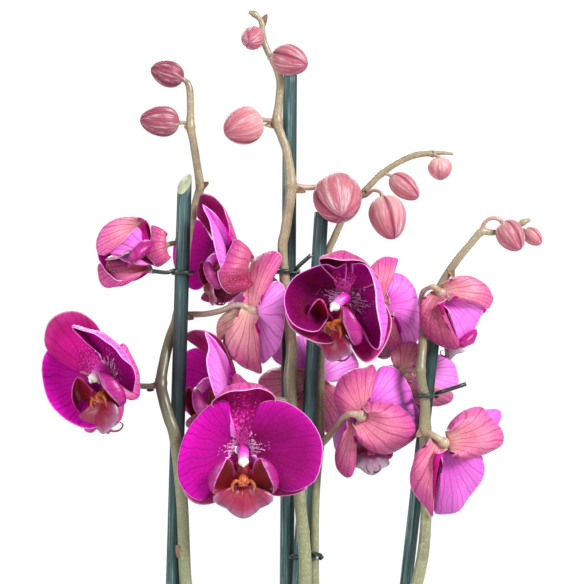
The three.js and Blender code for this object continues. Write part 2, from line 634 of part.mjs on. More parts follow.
    bracts: [[[450, 268, -7], [454, 278, -5]], [[422, 431, 8], [416, 437, 11]], [[419, 371, 10],
      [414, 377, 11]],
      [[425, 309, -8], [419, 307, -6]]],
  },
];

// Buds: the end of each on its stalk, its tip, its width in mm and the turn of its three seams in degrees
const BUDS = [
  { name: 'bud_1', foot: [183.5, 79, -8], tip: [151, 68, -6], width: 15.5, turn: 20 },
  { name: 'bud_2', foot: [179.5, 122.5, -8], tip: [140, 119.5, -5], width: 18.5, turn: 35 },
  { name: 'bud_3', foot: [273, 56, 2], tip: [307, 65, 10], width: 18.5, turn: 10 },
  { name: 'bud_4', foot: [256, 34, -1], tip: [249, 43, 13], width: 13.6, turn: 30 },
  { name: 'bud_5', foot: [261, 119.5, -4], tip: [225, 133, 4], width: 22.5, turn: 15 },
  { name: 'bud_6', foot: [334, 182, -8], tip: [342, 217, 14], width: 28.5, turn: 60 },
  { name: 'bud_7', foot: [439, 157.5, -6], tip: [441, 180, -9], width: 14.2, turn: 60 },
  { name: 'bud_8', foot: [391, 176, -12], tip: [418, 198, -8], width: 14, turn: 25 },
  { name: 'bud_9', foot: [382, 196, -8], tip: [394, 239, -4], width: 22, turn: 40 },
  { name: 'bud_10', foot: [502, 222, -1], tip: [520, 250, 2], width: 16.5, turn: 30 },
  { name: 'bud_11', foot: [525, 229.5, -12], tip: [541, 244, -10], width: 10, turn: 30 },
];

// Stakes: the middle of the top and a lower place, with the radius. The first one is cut on a slant.
const STAKES = [
  { name: 'stake_a', top: [184.5, 184, 0], low: [173, 584, 0], radius: STAKE_RADIUS, slant: 10 },
  { name: 'stake_b', top: [290, 70, -14], low: [287, 584, -14], radius: STAKE_RADIUS, slant: 0 },
  { name: 'stake_c', top: [321.5, 212, -12], low: [299, 584, -6], radius: STAKE_RADIUS, slant: 0 },
  { name: 'stake_d', top: [435, 326, -5], low: [406, 584, -2], radius: THIN_STAKE_RADIUS, slant: 0 },
];

// Wire ties: the places of the bound stem and stake, their radii, and the free end of the wire
const TIES = [
  { name: 'tie_a', stem: [184.5, 272, -11.5, 2.6], pole: [182.1, 272, 0, 4], free: [[167, 272.5, 5],
    [152, 271, 6]] },
  { name: 'tie_b', stem: [283.5, 272, -4, 2.9], pole: [288.8, 272, -14, 4], free: [[297, 268, -3],
    [311, 255, 0]] },
  { name: 'tie_c', stem: [424.2, 396, 8, 2.9], pole: [427.4, 396, -4.2, 3.5], free: [[441, 392, 8],
    [466, 384, 10]] },
  { name: 'tie_d', stem: [313.6, 556, -9.5, 2.8], pole: [300.7, 556, -6.5, 4], free: [[312, 553, -2],
    [317, 558, 2]] },
];

// Crowns: their axis in mm and the headings of their roots in degrees from +X
const CROWNS = [
  { name: 'plant_crown_a', x: -22, y: 0, roots: [100, 200, 300] },
  { name: 'plant_crown_b', x: 34, y: 0, roots: [80, 250, 330] },
];

// Leaves: which crown they grow from, heading in degrees from +X, length, width, height of the foot,
// rise of the arch and drop of the tip, all in mm
const LEAVES = [
  { name: 'leaf_1', crown: 0, heading: 215, length: 165, width: 62, foot: 128, rise: 62, drop: 30 },
  { name: 'leaf_2', crown: 0, heading: 150, length: 150, width: 58, foot: 126, rise: 74, drop: 22 },
  { name: 'leaf_3', crown: 0, heading: 273, length: 150, width: 60, foot: 126, rise: 56, drop: 40 },
  { name: 'leaf_4', crown: 0, heading: 96, length: 170, width: 60, foot: 128, rise: 66, drop: 36 },
  { name: 'leaf_5', crown: 1, heading: 302, length: 165, width: 64, foot: 128, rise: 60, drop: 34 },
  { name: 'leaf_6', crown: 1, heading: 90, length: 150, width: 58, foot: 127, rise: 64, drop: 28 },
  { name: 'leaf_7', crown: 1, heading: 36, length: 160, width: 60, foot: 125, rise: 58, drop: 44 },
];

const wasm = await Module();
wasm.setup();

const plant = new THREE.Group();

// Place on the front view, in mm
function place([column, row, depth]) {
  const step = (GRID * (SIGHT - depth)) / SIGHT;
  return new THREE.Vector3(
    SIGHT_X + (column - SIGHT_COLUMN) * step,
    -depth,
    SIGHT_Z + (SIGHT_ROW - row) * step,
  );
}

function toSolid(geometry) {
  const shape = geometry.clone();
  shape.deleteAttribute('normal');
  shape.deleteAttribute('uv');
  const merged = mergeVertices(shape, MERGE);
  return new wasm.Manifold(new wasm.Mesh({
    numProp: 3,
    vertProperties: new Float32Array(merged.attributes.position.array),
    triVerts: new Uint32Array(merged.index.array),
  }));
}

function toGeometry(solid) {
  const faces = solid.getMesh();
  const geometry = new THREE.BufferGeometry();
  geometry.setAttribute('position', new THREE.BufferAttribute(faces.vertProperties, 3));
  geometry.setIndex(new THREE.BufferAttribute(faces.triVerts, 1));
  geometry.computeVertexNormals();
  return geometry;
}

function join(solids) {
  return solids.reduce((whole, solid) => whole.add(solid));
}

// The outer skin of a solid's bulk, without loose scraps or sealed hollows
function mainBody(solid) {
  return solid.decompose().reduce((best, body) => (body.volume() > best.volume() ? body : best));
}

// Whether two sheets of a body touch along an edge, which would leave its surface unclear
function pinched(solid) {
  const merged = mergeVertices(toGeometry(solid).deleteAttribute('normal'), MERGE);
  const corners = merged.index.array;
  const uses = new Map();
  for (let i = 0; i < corners.length; i += 3) {
    for (let j = 0; j < 3; j += 1) {
      const edge = [corners[i + j], corners[i + ((j + 1) % 3)]].sort((a, b) => a - b).join(' ');
      uses.set(edge, (uses.get(edge) ?? 0) + 1);
    }
  }
  return [...uses.values()].some((count) => count !== 2);
}

// Whether an edge of a body pierces one of its own faces, as in a thin wall that is simplified too much
function pierced(solid) {
  const corners = toGeometry(solid).toNonIndexed().attributes.position;
  const faces = [];
  for (let i = 0; i < corners.count; i += 3) {
    const points = [0, 1, 2].map((j) => new THREE.Vector3().fromBufferAttribute(corners, i + j));
    faces.push({ points, box: new THREE.Box3().setFromPoints(points) });
  }
  const ray = new THREE.Ray();
  const hit = new THREE.Vector3();
  const crosses = (one, other) => one.points.some((from, j) => {
    const to = one.points[(j + 1) % 3];
    ray.set(from, to.clone().sub(from).normalize());
    const found = ray.intersectTriangle(...other.points, false, hit);
    return found && hit.distanceTo(from) > MERGE && hit.distanceTo(from) < to.distanceTo(from) - MERGE;
  });
  const apart = (one, other) => one.points.every((point) => (
    other.points.every((match) => match.distanceTo(point) > MERGE)));
  return faces.some((one, i) => faces.slice(i + 1).some((other) => (
    one.box.intersectsBox(other.box) && apart(one, other) && (crosses(one, other) || crosses(other, one)))));
}

// One plain body with no needless small faces
function tidied(solid, tolerance = SMOOTHING) {
  const whole = solid.asOriginal();
  const bodies = [1, 0.8, 0.6, 0.4, 0.2, 0.1, 0.05].map((share) => () => {
    const simpler = mainBody(whole.simplify(tolerance * share));
    return mainBody(toSolid(toGeometry(simpler)));
  });
  for (const make of bodies) {
    const body = make();
    if (!pinched(body) && !pierced(body)) {
      return body;
    }
  }
  return mainBody(whole);
}

// A solid with a gap all round it
function grown(solid, gap) {
  const shifts = [[1, 0, 0], [-1, 0, 0], [0, 1, 0], [0, -1, 0], [0, 0, 1], [0, 0, -1]];
  return join(shifts.map((shift) => solid.translate(shift.map((share) => share * gap))));
}

function addPiece(name, solid, color, roughness) {
  const material = new THREE.MeshStandardMaterial({ color, roughness, metalness: 0 });
  const mesh = new THREE.Mesh(toGeometry(solid), material);
  mesh.name = name;
  plant.add(mesh);
}

// Tapered round rod: a cylinder bent along a smooth line through the points
function rod(points, radii, sides, steps) {
  const line = new THREE.CatmullRomCurve3(points, false, 'centripetal');
  const spans = points.length - 1;
  const axes = [];
  let normal = new THREE.Vector3(1, 0.3, 0.2);
  for (let step = 0; step <= steps; step += 1) {
    const tangent = line.getTangent(step / steps);
    normal = normal.clone().addScaledVector(tangent, -normal.dot(tangent)).normalize();
    const binormal = new THREE.Vector3().crossVectors(normal, tangent);
    const knot = Math.min((step / steps) * spans, spans - 1e-9);
    const before = Math.floor(knot);
    const radius = THREE.MathUtils.lerp(radii[before], radii[before + 1], knot - before);
    axes.push({ centre: line.getPoint(step / steps), normal, binormal, radius });
  }
  const geometry = new THREE.CylinderGeometry(1, 1, 1, sides, steps);
  const corners = geometry.attributes.position;
  for (let i = 0; i < corners.count; i += 1) {
    const { centre, normal: side, binormal, radius } = axes[Math.round((corners.getY(i) + 0.5) * steps)];
    const corner = centre.clone()
      .addScaledVector(side, corners.getX(i) * radius)
      .addScaledVector(binormal, corners.getZ(i) * radius);
    corners.setXYZ(i, corner.x, corner.y, corner.z);
  }
  return toSolid(geometry);
}

// Thin blade over a surface point(s, q): wedges side by side, each with the same triangle on both its faces
function blade(point, across, along, thickness) {
  const nudge = 1e-3;
  const edge = (i, j) => {
    const s = i / across;
    const q = j / along;
    const sideways = point(Math.min(s + nudge, 1), q).sub(point(Math.max(s - nudge, 0), q));
    const outwards = point(s, Math.min(q + nudge, 1)).sub(point(s, Math.max(q - nudge, 0)));
    const offset = sideways.cross(outwards).setLength(thickness / 2);
    return [point(s, q).add(offset), point(s, q).sub(offset)];
  };
  const wedges = [];
  for (let i = 0; i < across; i += 1) {
    for (let j = 0; j < along; j += 1) {
      const [a, b, c, d] = [edge(i, j), edge(i + 1, j), edge(i + 1, j + 1), edge(i, j + 1)];
      wedges.push(toSolid(new ConvexGeometry([...a, ...b, ...c])));
      wedges.push(toSolid(new ConvexGeometry([...a, ...c, ...d])));
    }
  }
  return join(wedges);
}

// Smooth line through points that are evenly spaced in s
function smoothLine(points, s) {
  const spans = points.length - 1;
  const span = Math.min(Math.floor(s * spans), spans - 1);
  const f = s * spans - span;
  const from = points[span];
  const to = points[span + 1];
  const before = span > 0 ? points[span - 1] : from.clone().multiplyScalar(2).sub(to);
  const after = span + 2 <= spans ? points[span + 2] : to.clone().multiplyScalar(2).sub(from);
  return new THREE.Vector3()
    .addScaledVector(before, 0.5 * (-f + 2 * f * f - f ** 3))
    .addScaledVector(from, 0.5 * (2 - 5 * f * f + 3 * f ** 3))
    .addScaledVector(to, 0.5 * (f + 4 * f * f - 3 * f ** 3))
    .addScaledVector(after, 0.5 * (f ** 3 - f * f));
}

// Petal surface: from its claw over a fold or bulge line to its rim, all smooth
function petalSurface(claw, rim, fold, bulge) {
  const facing = new THREE.Vector3();
  for (let i = 1; i < rim.length; i += 1) {
    facing.add(rim[i - 1].clone().sub(claw).cross(rim[i].clone().sub(claw)));
  }
  facing.normalize();
  if (facing.y > 0) {
    facing.negate();
  }
  return (s, q) => {
    const edge = smoothLine(rim, s);
    const middle = fold
      ? smoothLine(fold, s)
      : claw.clone().lerp(edge, FOLD).addScaledVector(facing, bulge * FOLD);
    return new THREE.Vector3()
      .addScaledVector(claw, ((FOLD - q) * (1 - q)) / FOLD)
      .addScaledVector(middle, (q * (1 - q)) / (FOLD * (1 - FOLD)))
      .addScaledVector(edge, (q * (q - FOLD)) / (1 - FOLD));
  };
}

// From just outside the claw, where the blade is wide enough to grow from the hub, to the rim
function fromClaw(surface) {
  return (s, q) => surface(s, CLAW_START + (1 - CLAW_START) * q);
}

// Right, up and forward of a flower that faces azimuth and elevation, turned by roll, in degrees
function flowerAxes(azimuth, elevation, roll) {
  const [a, e, r] = [azimuth, elevation, roll].map(THREE.MathUtils.degToRad);
  const forward = new THREE.Vector3(Math.sin(a) * Math.cos(e), -Math.cos(a) * Math.cos(e), Math.sin(e));
  const level = new THREE.Vector3(Math.cos(a), Math.sin(a), 0);
  const upright = new THREE.Vector3().crossVectors(forward, level);
  const right = level.clone().multiplyScalar(Math.cos(r)).addScaledVector(upright, Math.sin(r));
  const up = upright.clone().multiplyScalar(Math.cos(r)).addScaledVector(level, -Math.sin(r));
  return { right, up, forward };
}

// Lip of a flower, in mm right, up and forward of its foot
function lipFrame([column, row, depth, azimuth, elevation, roll, size]) {
  const foot = place([column, row, depth]);
  const { right, up, forward } = flowerAxes(azimuth, elevation, roll);
  return ([x, y, z]) => foot.clone()
    .addScaledVector(right, x * size)
    .addScaledVector(up, y * size)
    .addScaledVector(forward, z * size);
}

function mirrored(points) {
  return points.map(([x, y, z]) => [-x, y, z]);
}

function lip(flower) {
  const inLip = lipFrame(flower.lip);
  const petal = (claw, rim, bulge, steps) => {
    const surface = petalSurface(inLip(claw), rim.map(inLip), null, bulge);
    return blade(fromClaw(surface), steps, 1, BLADE_THICK);
  };
  const solids = [
    petal(LIP_SIDE.claw, LIP_SIDE.rim, LIP_SIDE.bulge, 4),
    petal(mirrored([LIP_SIDE.claw])[0], mirrored(LIP_SIDE.rim), LIP_SIDE.bulge, 4),
    petal(LIP_MIDDLE.claw, LIP_MIDDLE.rim, LIP_MIDDLE.bulge, 6),
    rod(LIP_NECK.map(inLip), LIP_NECK_RADII, 4, 2),
  ];
  return tidied(join(solids));
}

// Petals, sepals, hub and column of a flower as one body
function bloom(flower) {
  const hub = place(flower.hub);
  const solids = [];
  flower.tepals.forEach((tepal, k) => {
    const fold = tepal.fold ? tepal.fold.map(place) : null;
    const surface = petalSurface(place(tepal.claw), tepal.rim.map(place), fold, tepal.bulge);
    const across = tepal.kind === 'petal' ? 5 : 4;
    const along = tepal.fold ? 3 : 2;
    solids.push(blade(fromClaw(surface), across, along, BLADE_THICK + 0.05 * k));
    if (surface(0.5, CLAW_START).distanceTo(hub) > HUB_RADIUS - CLAW_SINK) {
      solids.push(rod([hub, surface(0.5, CLAW_REACH)], CLAW_RADII, 3, 1));
    }
  });
  const ball = new THREE.SphereGeometry(HUB_RADIUS, 6, 4);
  ball.translate(hub.x, hub.y, hub.z);
  solids.push(toSolid(ball));
  const inLip = lipFrame(flower.lip);
  solids.push(rod([hub, ...COLUMN_LINE.map(inLip)], COLUMN_RADII, 5, 3));
  return tidied(join(solids));
}

function bud({ foot, tip, width, turn }) {
  const [low, high] = [place(foot), place(tip)];
  const axis = high.clone().sub(low);
  const length = axis.length();
  const turned = new THREE.Quaternion().setFromUnitVectors(new THREE.Vector3(0, 1, 0), axis.normalize());
  const geometry = new THREE.SphereGeometry(1, BUD_SIDES, BUD_RINGS);
  const corners = geometry.attributes.position;
  for (let i = 0; i < corners.count; i += 1) {
    const [x, y, z] = [corners.getX(i), corners.getY(i), corners.getZ(i)];
    const share = (y + 1) / 2;
    const angle = Math.atan2(z, x) + THREE.MathUtils.degToRad(turn);
    const seam = 1 - BUD_SEAM * Math.max(0, Math.cos(3 * angle)) ** 3;
    const swell = (width / 2) * (1.07 - 0.28 * share) * seam;
    const corner = new THREE.Vector3(x * swell, share * length, z * swell).applyQuaternion(turned).add(low);
    corners.setXYZ(i, corner.x, corner.y, corner.z);
  }
  return toSolid(geometry);
}

// Line of a stalk that stops a gap short of the flower's hub or the bud's foot
function stalkLine(stalk) {
  const points = stalk.path.map(place);
  const flower = BLOOMS.find(({ name }) => name === stalk.to);
  const target = flower ? place(flower.hub) : place(BUDS.find(({ name }) => name === stalk.to).foot);
  const last = points[points.length - 1];
  const clear = flower ? HUB_RADIUS + 1.5 * GAP : GAP + stalk.radius * 0.4;
  points.push(target.clone().add(last.clone().sub(target).setLength(clear)));
  return points;
}

// Stem with its stalks, which stop clear of the flowers and buds that they carry
function spike({ stem, stalks, bracts }) {
  const solids = [rod(stem.map(place), stem.map((knot) => knot[3]), 5, stem.length - 1)];
  stalks.forEach((stalk) => {
    const points = stalkLine(stalk);
    const whole = rod(points, points.map(() => stalk.radius), 4, points.length);
    solids.push(whole.subtract(grown(carried.get(stalk.to), 2 * GAP)));
  });
  bracts.forEach((ends) => solids.push(rod(ends.map(place), BRACT_RADII, 3, 1)));
  return tidied(join(solids));
}

// Stake from deep in the bark to its top, whose cut face may slant
function stake({ top, low, radius, slant }, extra = 0) {
  const [high, lower] = [place(top), place(low)];
  const slope = high.clone().sub(lower).divideScalar(high.z - lower.z);
  const foot = high.clone().addScaledVector(slope, STAKE_FOOT - extra - high.z);
  const geometry = new THREE.CylinderGeometry(radius + extra, radius + extra, 1, 10, 1);
  const corners = geometry.attributes.position;
  for (let i = 0; i < corners.count; i += 1) {
    const [x, y, z] = [corners.getX(i), corners.getY(i), corners.getZ(i)];
    const end = y > 0 ? high : foot;
    const tilt = y > 0 ? (slant * x) / (2 * radius) + (slant * -z) / (3 * radius) : 0;
    corners.setXYZ(i, end.x + x, end.y - z, end.z + tilt);
  }
  return toSolid(geometry);
}

// Wire wound once round a stem and its stake, with its cut end sticking out
function tie({ stem, pole, free }) {
  const ends = [stem, pole].map((held) => ({ centre: place(held), reach: held[3] + GAP + WIRE_RADIUS }));
  const between = ends[1].centre.clone().sub(ends[0].centre);
  const height = ends[0].centre.z;
  const around = (side) => {
    const { centre, reach } = ends[side.dot(between) > 0 ? 1 : 0];
    return centre.clone().addScaledVector(side, reach).setZ(height);
  };
  const ring = 10 * WIRE_RADIUS;
  const geometry = new THREE.TorusGeometry(ring, WIRE_RADIUS, 4, 14);
  const corners = geometry.attributes.position;
  for (let i = 0; i < corners.count; i += 1) {
    const side = new THREE.Vector3(corners.getX(i), corners.getY(i), 0);
    const out = side.length() - ring;
    side.normalize();
    const corner = around(side).addScaledVector(side, out);
    corners.setXYZ(i, corner.x, corner.y, height + corners.getZ(i));
  }
  const line = free.map(place);
  const [nearest] = ends.map(({ centre }) => centre)
    .sort((a, b) => a.distanceTo(line[0]) - b.distanceTo(line[0]));
  const root = around(line[0].clone().sub(nearest).setZ(0).normalize());
  return tidied(toSolid(geometry).add(rod([root, ...line], Array(3).fill(WIRE_RADIUS), 4, 3)), FINE);
}

function lathe(profile, segments) {
  const geometry = new THREE.LatheGeometry(profile.map(([r, z]) => new THREE.Vector2(r, z)), segments);
  geometry.rotateX(Math.PI / 2);
  return toSolid(geometry);
}

function pot() {
  const lip = POT_RADIUS;
  const inner = POT_RADIUS - POT_WALL;
  const footInner = POT_FOOT_RADIUS - POT_WALL + 2;
  return lathe([
    [0, 0], [POT_FOOT_RADIUS - 2, 0], [POT_FOOT_RADIUS, 2], [POT_RADIUS - 4, POT_HEIGHT - RIM_BAND - 2],
    [lip, POT_HEIGHT - RIM_BAND], [lip, POT_HEIGHT - 2], [lip - 2, POT_HEIGHT], [inner + 2, POT_HEIGHT],
    [inner, POT_HEIGHT - 2], [inner - 3, POT_HEIGHT - RIM_BAND], [footInner, POT_FLOOR], [0, POT_FLOOR],
  ], 20);
}

// Crown: the short stem that the leaves and spikes grow from, with roots that arch into the bark
function crown({ x, y, roots: headings }, extra = 0) {
  const stump = lathe([
    [0, CROWN_FOOT - extra], [CROWN_RADIUS * 0.6 + extra, CROWN_FOOT - extra],
    [CROWN_RADIUS * 0.9 + extra, CROWN_FOOT + 20], [CROWN_RADIUS + extra, CROWN_TOP - 14],
    [CROWN_RADIUS - 1 + extra, CROWN_TOP], [0, CROWN_TOP],
  ], 12).translate([x, y, 0]);
  const roots = headings.map((heading, k) => {
    const angle = THREE.MathUtils.degToRad(heading);
    const at = (reach, z) => new THREE.Vector3(x + Math.cos(angle) * reach, y + Math.sin(angle) * reach, z);
    const line = [at(6, 112 - k), at(13, 119 - k), at(19, 121 - k), at(25, 114), at(28, 100 - extra)];
    return rod(line, line.map(() => ROOT_RADIUS + extra), 5, 4);
  });
  return join([stump, ...roots]);
}

// Strap leaf: an arched blade with a keel along its middle and a rounded tip
function leaf({ crown: home, heading, length, width, foot, rise, drop }) {
  const angle = THREE.MathUtils.degToRad(heading);
  const out = new THREE.Vector3(Math.cos(angle), Math.sin(angle), 0);
  const side = new THREE.Vector3(-Math.sin(angle), Math.cos(angle), 0);
  const start = new THREE.Vector3(CROWNS[home].x, CROWNS[home].y, foot)
    .addScaledVector(out, CROWN_RADIUS + LEAF_THICK / 2);
  const arch = new THREE.QuadraticBezierCurve3(
    start,
    start.clone().addScaledVector(out, 0.4 * length).setZ(foot + 1.4 * rise),
    start.clone().addScaledVector(out, 0.95 * length).setZ(foot + rise - drop),
  );
  const widths = LEAF_WIDTHS.map((share) => new THREE.Vector3(share * width, 0, 0));
  const surface = (s, q) => {
    const half = smoothLine(widths, q).x / 2;
    const across = 2 * s - 1;
    const keel = LEAF_KEEL * half * Math.abs(across) ** 1.3;
    return arch.getPoint(q).addScaledVector(side, across * half * 0.96).add(new THREE.Vector3(0, 0, keel));
  };
  return tidied(blade(surface, 4, 5, LEAF_THICK), FINE);
}

// Bark: a filling with rough chips on top, and plain holes where stakes, crowns and roots stand
function bark() {
  const inner = POT_RADIUS - POT_WALL - 3 - GAP * 2;
  const wall = (z) => THREE.MathUtils.mapLinear(z, POT_FLOOR, POT_HEIGHT - RIM_BAND,
    POT_FOOT_RADIUS - POT_WALL + 2, POT_RADIUS - POT_WALL - 3) - 2 * GAP;
  const bed = lathe([
    [0, POT_FLOOR + GAP], [wall(POT_FLOOR + GAP), POT_FLOOR + GAP], [wall(BARK_LEVEL), BARK_LEVEL],
    [inner * 0.6, BARK_LEVEL + 3], [0, BARK_LEVEL + 4],
  ], 20);
  const random = seededRandom(7);
  const solids = [bed];
  for (let k = 0; k < BARK_CHIPS; k += 1) {
    const chip = new THREE.BoxGeometry(9 + 9 * random(), 6 + 6 * random(), 3.5 + 2.5 * random());
    const reach = (inner - 9) * Math.sqrt((k + 0.5) / BARK_CHIPS);
    const angle = k * GOLDEN_ANGLE;
    chip.rotateX(0.5 * (random() - 0.5));
    chip.rotateY(0.5 * (random() - 0.5));
    chip.rotateZ(Math.PI * random());
    chip.translate(reach * Math.cos(angle), reach * Math.sin(angle), BARK_LEVEL + 2.5 + 2 * random());
    solids.push(toSolid(chip));
  }
  let whole = join(solids);
  STAKES.forEach((row) => {
    whole = whole.subtract(stake(row, GAP));
  });
  CROWNS.forEach((row) => {
    whole = whole.subtract(crown(row, 2 * GAP));
  });
  return tidied(whole);
}

// Repeatable random numbers from 0 to 1
function seededRandom(seed) {
  let state = seed;
  return () => {
    state = (state * 16807) % 2147483647;
    return state / 2147483647;
  };
}

// Flowers and buds come first, because the lips and the stalks keep clear of them
const carried = new Map();
BUDS.forEach((row) => carried.set(row.name, bud(row)));
BLOOMS.forEach((row) => carried.set(row.name, bloom(row)));

addPiece('pot', pot(), 0xf2f1ee, 0.25);
addPiece('potting_bark', bark(), 0x6b4a32, 0.95);
CROWNS.forEach((row) => addPiece(row.name, tidied(crown(row), FINE), 0x7f9a5a, 0.6));
LEAVES.forEach((row) => addPiece(row.name, leaf(row), 0x3f6b35, 0.45));
STAKES.forEach((row) => addPiece(row.name, stake(row), 0x3e5a5c, 0.6));
TIES.forEach((row) => addPiece(row.name, tie(row), 0x22332f, 0.5));
SPIKES.forEach((row) => addPiece(row.name, spike(row), 0x9aa070, 0.55));
BUDS.forEach((row) => addPiece(row.name, carried.get(row.name), 0xd98a9c, 0.5));
BLOOMS.forEach((row) => {
  const body = carried.get(row.name);
  const color = row.tepals[0].back ? 0xd98a9c : 0xb5128c;
  addPiece(row.name, body, color, 0.5);
  const lipBody = lip(row).subtract(grown(body, 2 * GAP));
  addPiece(row.name.replace('bloom', 'lip'), tidied(lipBody, FINE), 0x8a1038, 0.5);
});

export default plant;
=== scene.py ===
# %% [markdown]
# # A potted moth orchid
# Four tall flower stems rise from two plants in one glazed pot and are tied to dyed bamboo stakes.
# They carry thirteen magenta flowers, seen from the front, from the side and from behind, and eleven buds.
# The part's solids give every piece its place and main shape. This notebook replaces them with finer
# pieces of the same form, and gives each the colours, veins, spots and gloss of the living plant.

import functools
import math
import random

import bmesh
import bpy
from mathutils import Matrix, Vector, noise


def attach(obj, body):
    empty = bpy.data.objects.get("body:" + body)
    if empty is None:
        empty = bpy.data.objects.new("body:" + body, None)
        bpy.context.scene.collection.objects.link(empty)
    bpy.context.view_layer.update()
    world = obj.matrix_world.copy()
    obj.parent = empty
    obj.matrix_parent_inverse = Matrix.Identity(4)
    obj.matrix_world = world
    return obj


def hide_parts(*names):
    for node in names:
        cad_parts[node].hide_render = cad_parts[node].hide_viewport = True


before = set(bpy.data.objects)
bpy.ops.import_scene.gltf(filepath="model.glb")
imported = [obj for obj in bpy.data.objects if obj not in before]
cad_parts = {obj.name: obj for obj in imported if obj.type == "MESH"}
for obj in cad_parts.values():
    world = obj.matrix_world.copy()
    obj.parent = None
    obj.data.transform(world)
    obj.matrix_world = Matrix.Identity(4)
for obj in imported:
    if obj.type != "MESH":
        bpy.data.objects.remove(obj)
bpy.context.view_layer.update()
print("CAD nodes:", len(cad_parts))

# %% [markdown]
# ## Places on a front view
# The flowers, buds, stems and stakes are placed on a drawing of the plant's front. A place is a column,
# a row and a depth in millimetres towards the viewer. A step of the drawing is GRID mm on the plane of
# the pot's axis and a little less nearer the viewer, because the view has perspective. The camera
# stands on the same sight line, so a petal keeps its outline in the picture however deep it lies.

# %% Places
MM = 0.001
GRID = 0.55
SIGHT = 1000  # from the camera to the plane of the pot's axis
# the sight line on the drawing, and its place on that plane
SIGHT_COLUMN = 292
SIGHT_ROW = 292
SIGHT_X = 12
SIGHT_Z = 410


def place(spot):
    column, row, depth = spot[:3]
    step = GRID * (SIGHT - depth) / SIGHT
    x = SIGHT_X + (column - SIGHT_COLUMN) * step
    z = SIGHT_Z + (SIGHT_ROW - row) * step
    return Vector((x, -depth, z)) * MM


def places(spots):
    return [place(spot) for spot in spots]


def bearing(angle):
    # the level direction at an angle round the pot's axis
    return Vector((math.cos(angle), math.sin(angle), 0))


print("Centre of the view:", place((SIGHT_COLUMN, SIGHT_ROW, 0)))

# %% [markdown]
# ## Node trees
# Every finish is a small network of nodes. One helper adds a node, sets it, links it and gives back its
# output, so that a material reads as a list of its layers. Hex colours are sRGB, as a paint chart gives
# them, and the shader wants linear light, so one function turns them.

# %% Colour and node helpers
FACTOR, COLOR_A, COLOR_B, MIXED = 0, 6, 7, 2


def linear(hex_colour):
    shares = [int(hex_colour[i:i + 2], 16) / 255 for i in (1, 3, 5)]
    return [s / 12.92 if s <= 0.04045 else ((s + 0.055) / 1.055) ** 2.4 for s in shares] + [1]


def add_node(tree, kind, inputs=None, stops=(), out=0, **settings):
    node = tree.nodes.new("ShaderNode" + kind)
    for name, value in settings.items():
        setattr(node, name, value)
    if stops:
        ramp = node.color_ramp
        while len(ramp.elements) < len(stops):
            ramp.elements.new(1)
        for element, (position, colour) in zip(ramp.elements, stops):
            element.position = position
            element.color = linear(colour)
    for name, value in (inputs or {}).items():
        if isinstance(value, bpy.types.NodeSocket):
            tree.links.new(value, node.inputs[name])
        else:
            node.inputs[name].default_value = linear(value) if isinstance(value, str) else value
    return node.outputs[out] if node.outputs else None


def new_finish(name):
    finish = bpy.data.materials.new(name)
    finish.use_nodes = True
    finish.node_tree.nodes.clear()
    print("finish:", name)
    return finish, functools.partial(add_node, finish.node_tree)

# %% [markdown]
# ## Layers, lines and the shader
# A skin is painted in layers, like a glaze: each pattern of the plant lets some of the next colour
# through. Veins and streaks are lines along the sheet, so they come from its U alone. The shader itself is
# the same for all: a colour, a gloss and, where cells or veins stand up, a relief.

# %% Layers of a finish
def cover(add, colour, over, value, span=(0, 1), share=(0, 1)):
    # as value runs through span, the share of the colour that over hides runs through share
    hidden = add("MapRange", {"Value": value, "From Min": span[0], "From Max": span[1],
                              "To Min": share[0], "To Max": share[1]})
    return add("Mix", {FACTOR: hidden, COLOR_A: colour, COLOR_B: over}, out=MIXED, data_type="RGBA")


def fine_lines(add, across, wander, drift, count, breadth, strength=1):
    # count lines of constant U that drift a little: strength on each line, and 0 beyond its breadth
    bend = add("Math", {0: wander, 1: drift, 2: across}, operation="MULTIPLY_ADD")
    turn = add("Math", {0: bend, 1: math.pi * count}, operation="MULTIPLY")
    wave = add("Math", {0: turn}, operation="SINE")
    wave = add("Math", {0: wave}, operation="ABSOLUTE")
    return add("MapRange", {"Value": wave, "From Max": breadth, "To Min": strength, "To Max": 0})


def finish_with(add, colour, roughness, height=None, relief=0.3, depth=0.4 * MM, **sockets):
    # height is the pattern that stands up in relief, depth how high it stands
    inputs = {"Base Color": colour, "Roughness": roughness}
    if height is not None:
        inputs["Normal"] = add("Bump", {"Strength": relief, "Distance": depth, "Height": height})
    inputs.update({name.replace("_", " "): value for name, value in sockets.items()})
    add("OutputMaterial", {"Surface": add("BsdfPrincipled", inputs)})

# %% [markdown]
# ## Petal skins
# A moth orchid's petal is a thin sheet of cells that gleams like wet velvet. Its veins leave the claw and
# fan out to the rim, and near the claw of a front there are pale lace-like spots. Each petal here has
# a UV map that runs across it (U) and from its claw to its rim (V), so a line of constant U is already a
# fanned vein, and one recipe serves every petal. The recipe takes the colours of the side it paints.

# %% Petal recipe
# how many of each pattern go in a metre
WANDERS = 90  # bends of a vein, 11 mm long
PATCHES = 62  # uneven patches, 16 mm across
SPARKS = 1300  # rows of pale cells, 0.8 mm long
CELLS = 1700  # cells 0.05 mm across in life, drawn 0.6 mm across so that they show
VEIN_BREADTH = 0.36
VEIN_DRIFT = 0.075


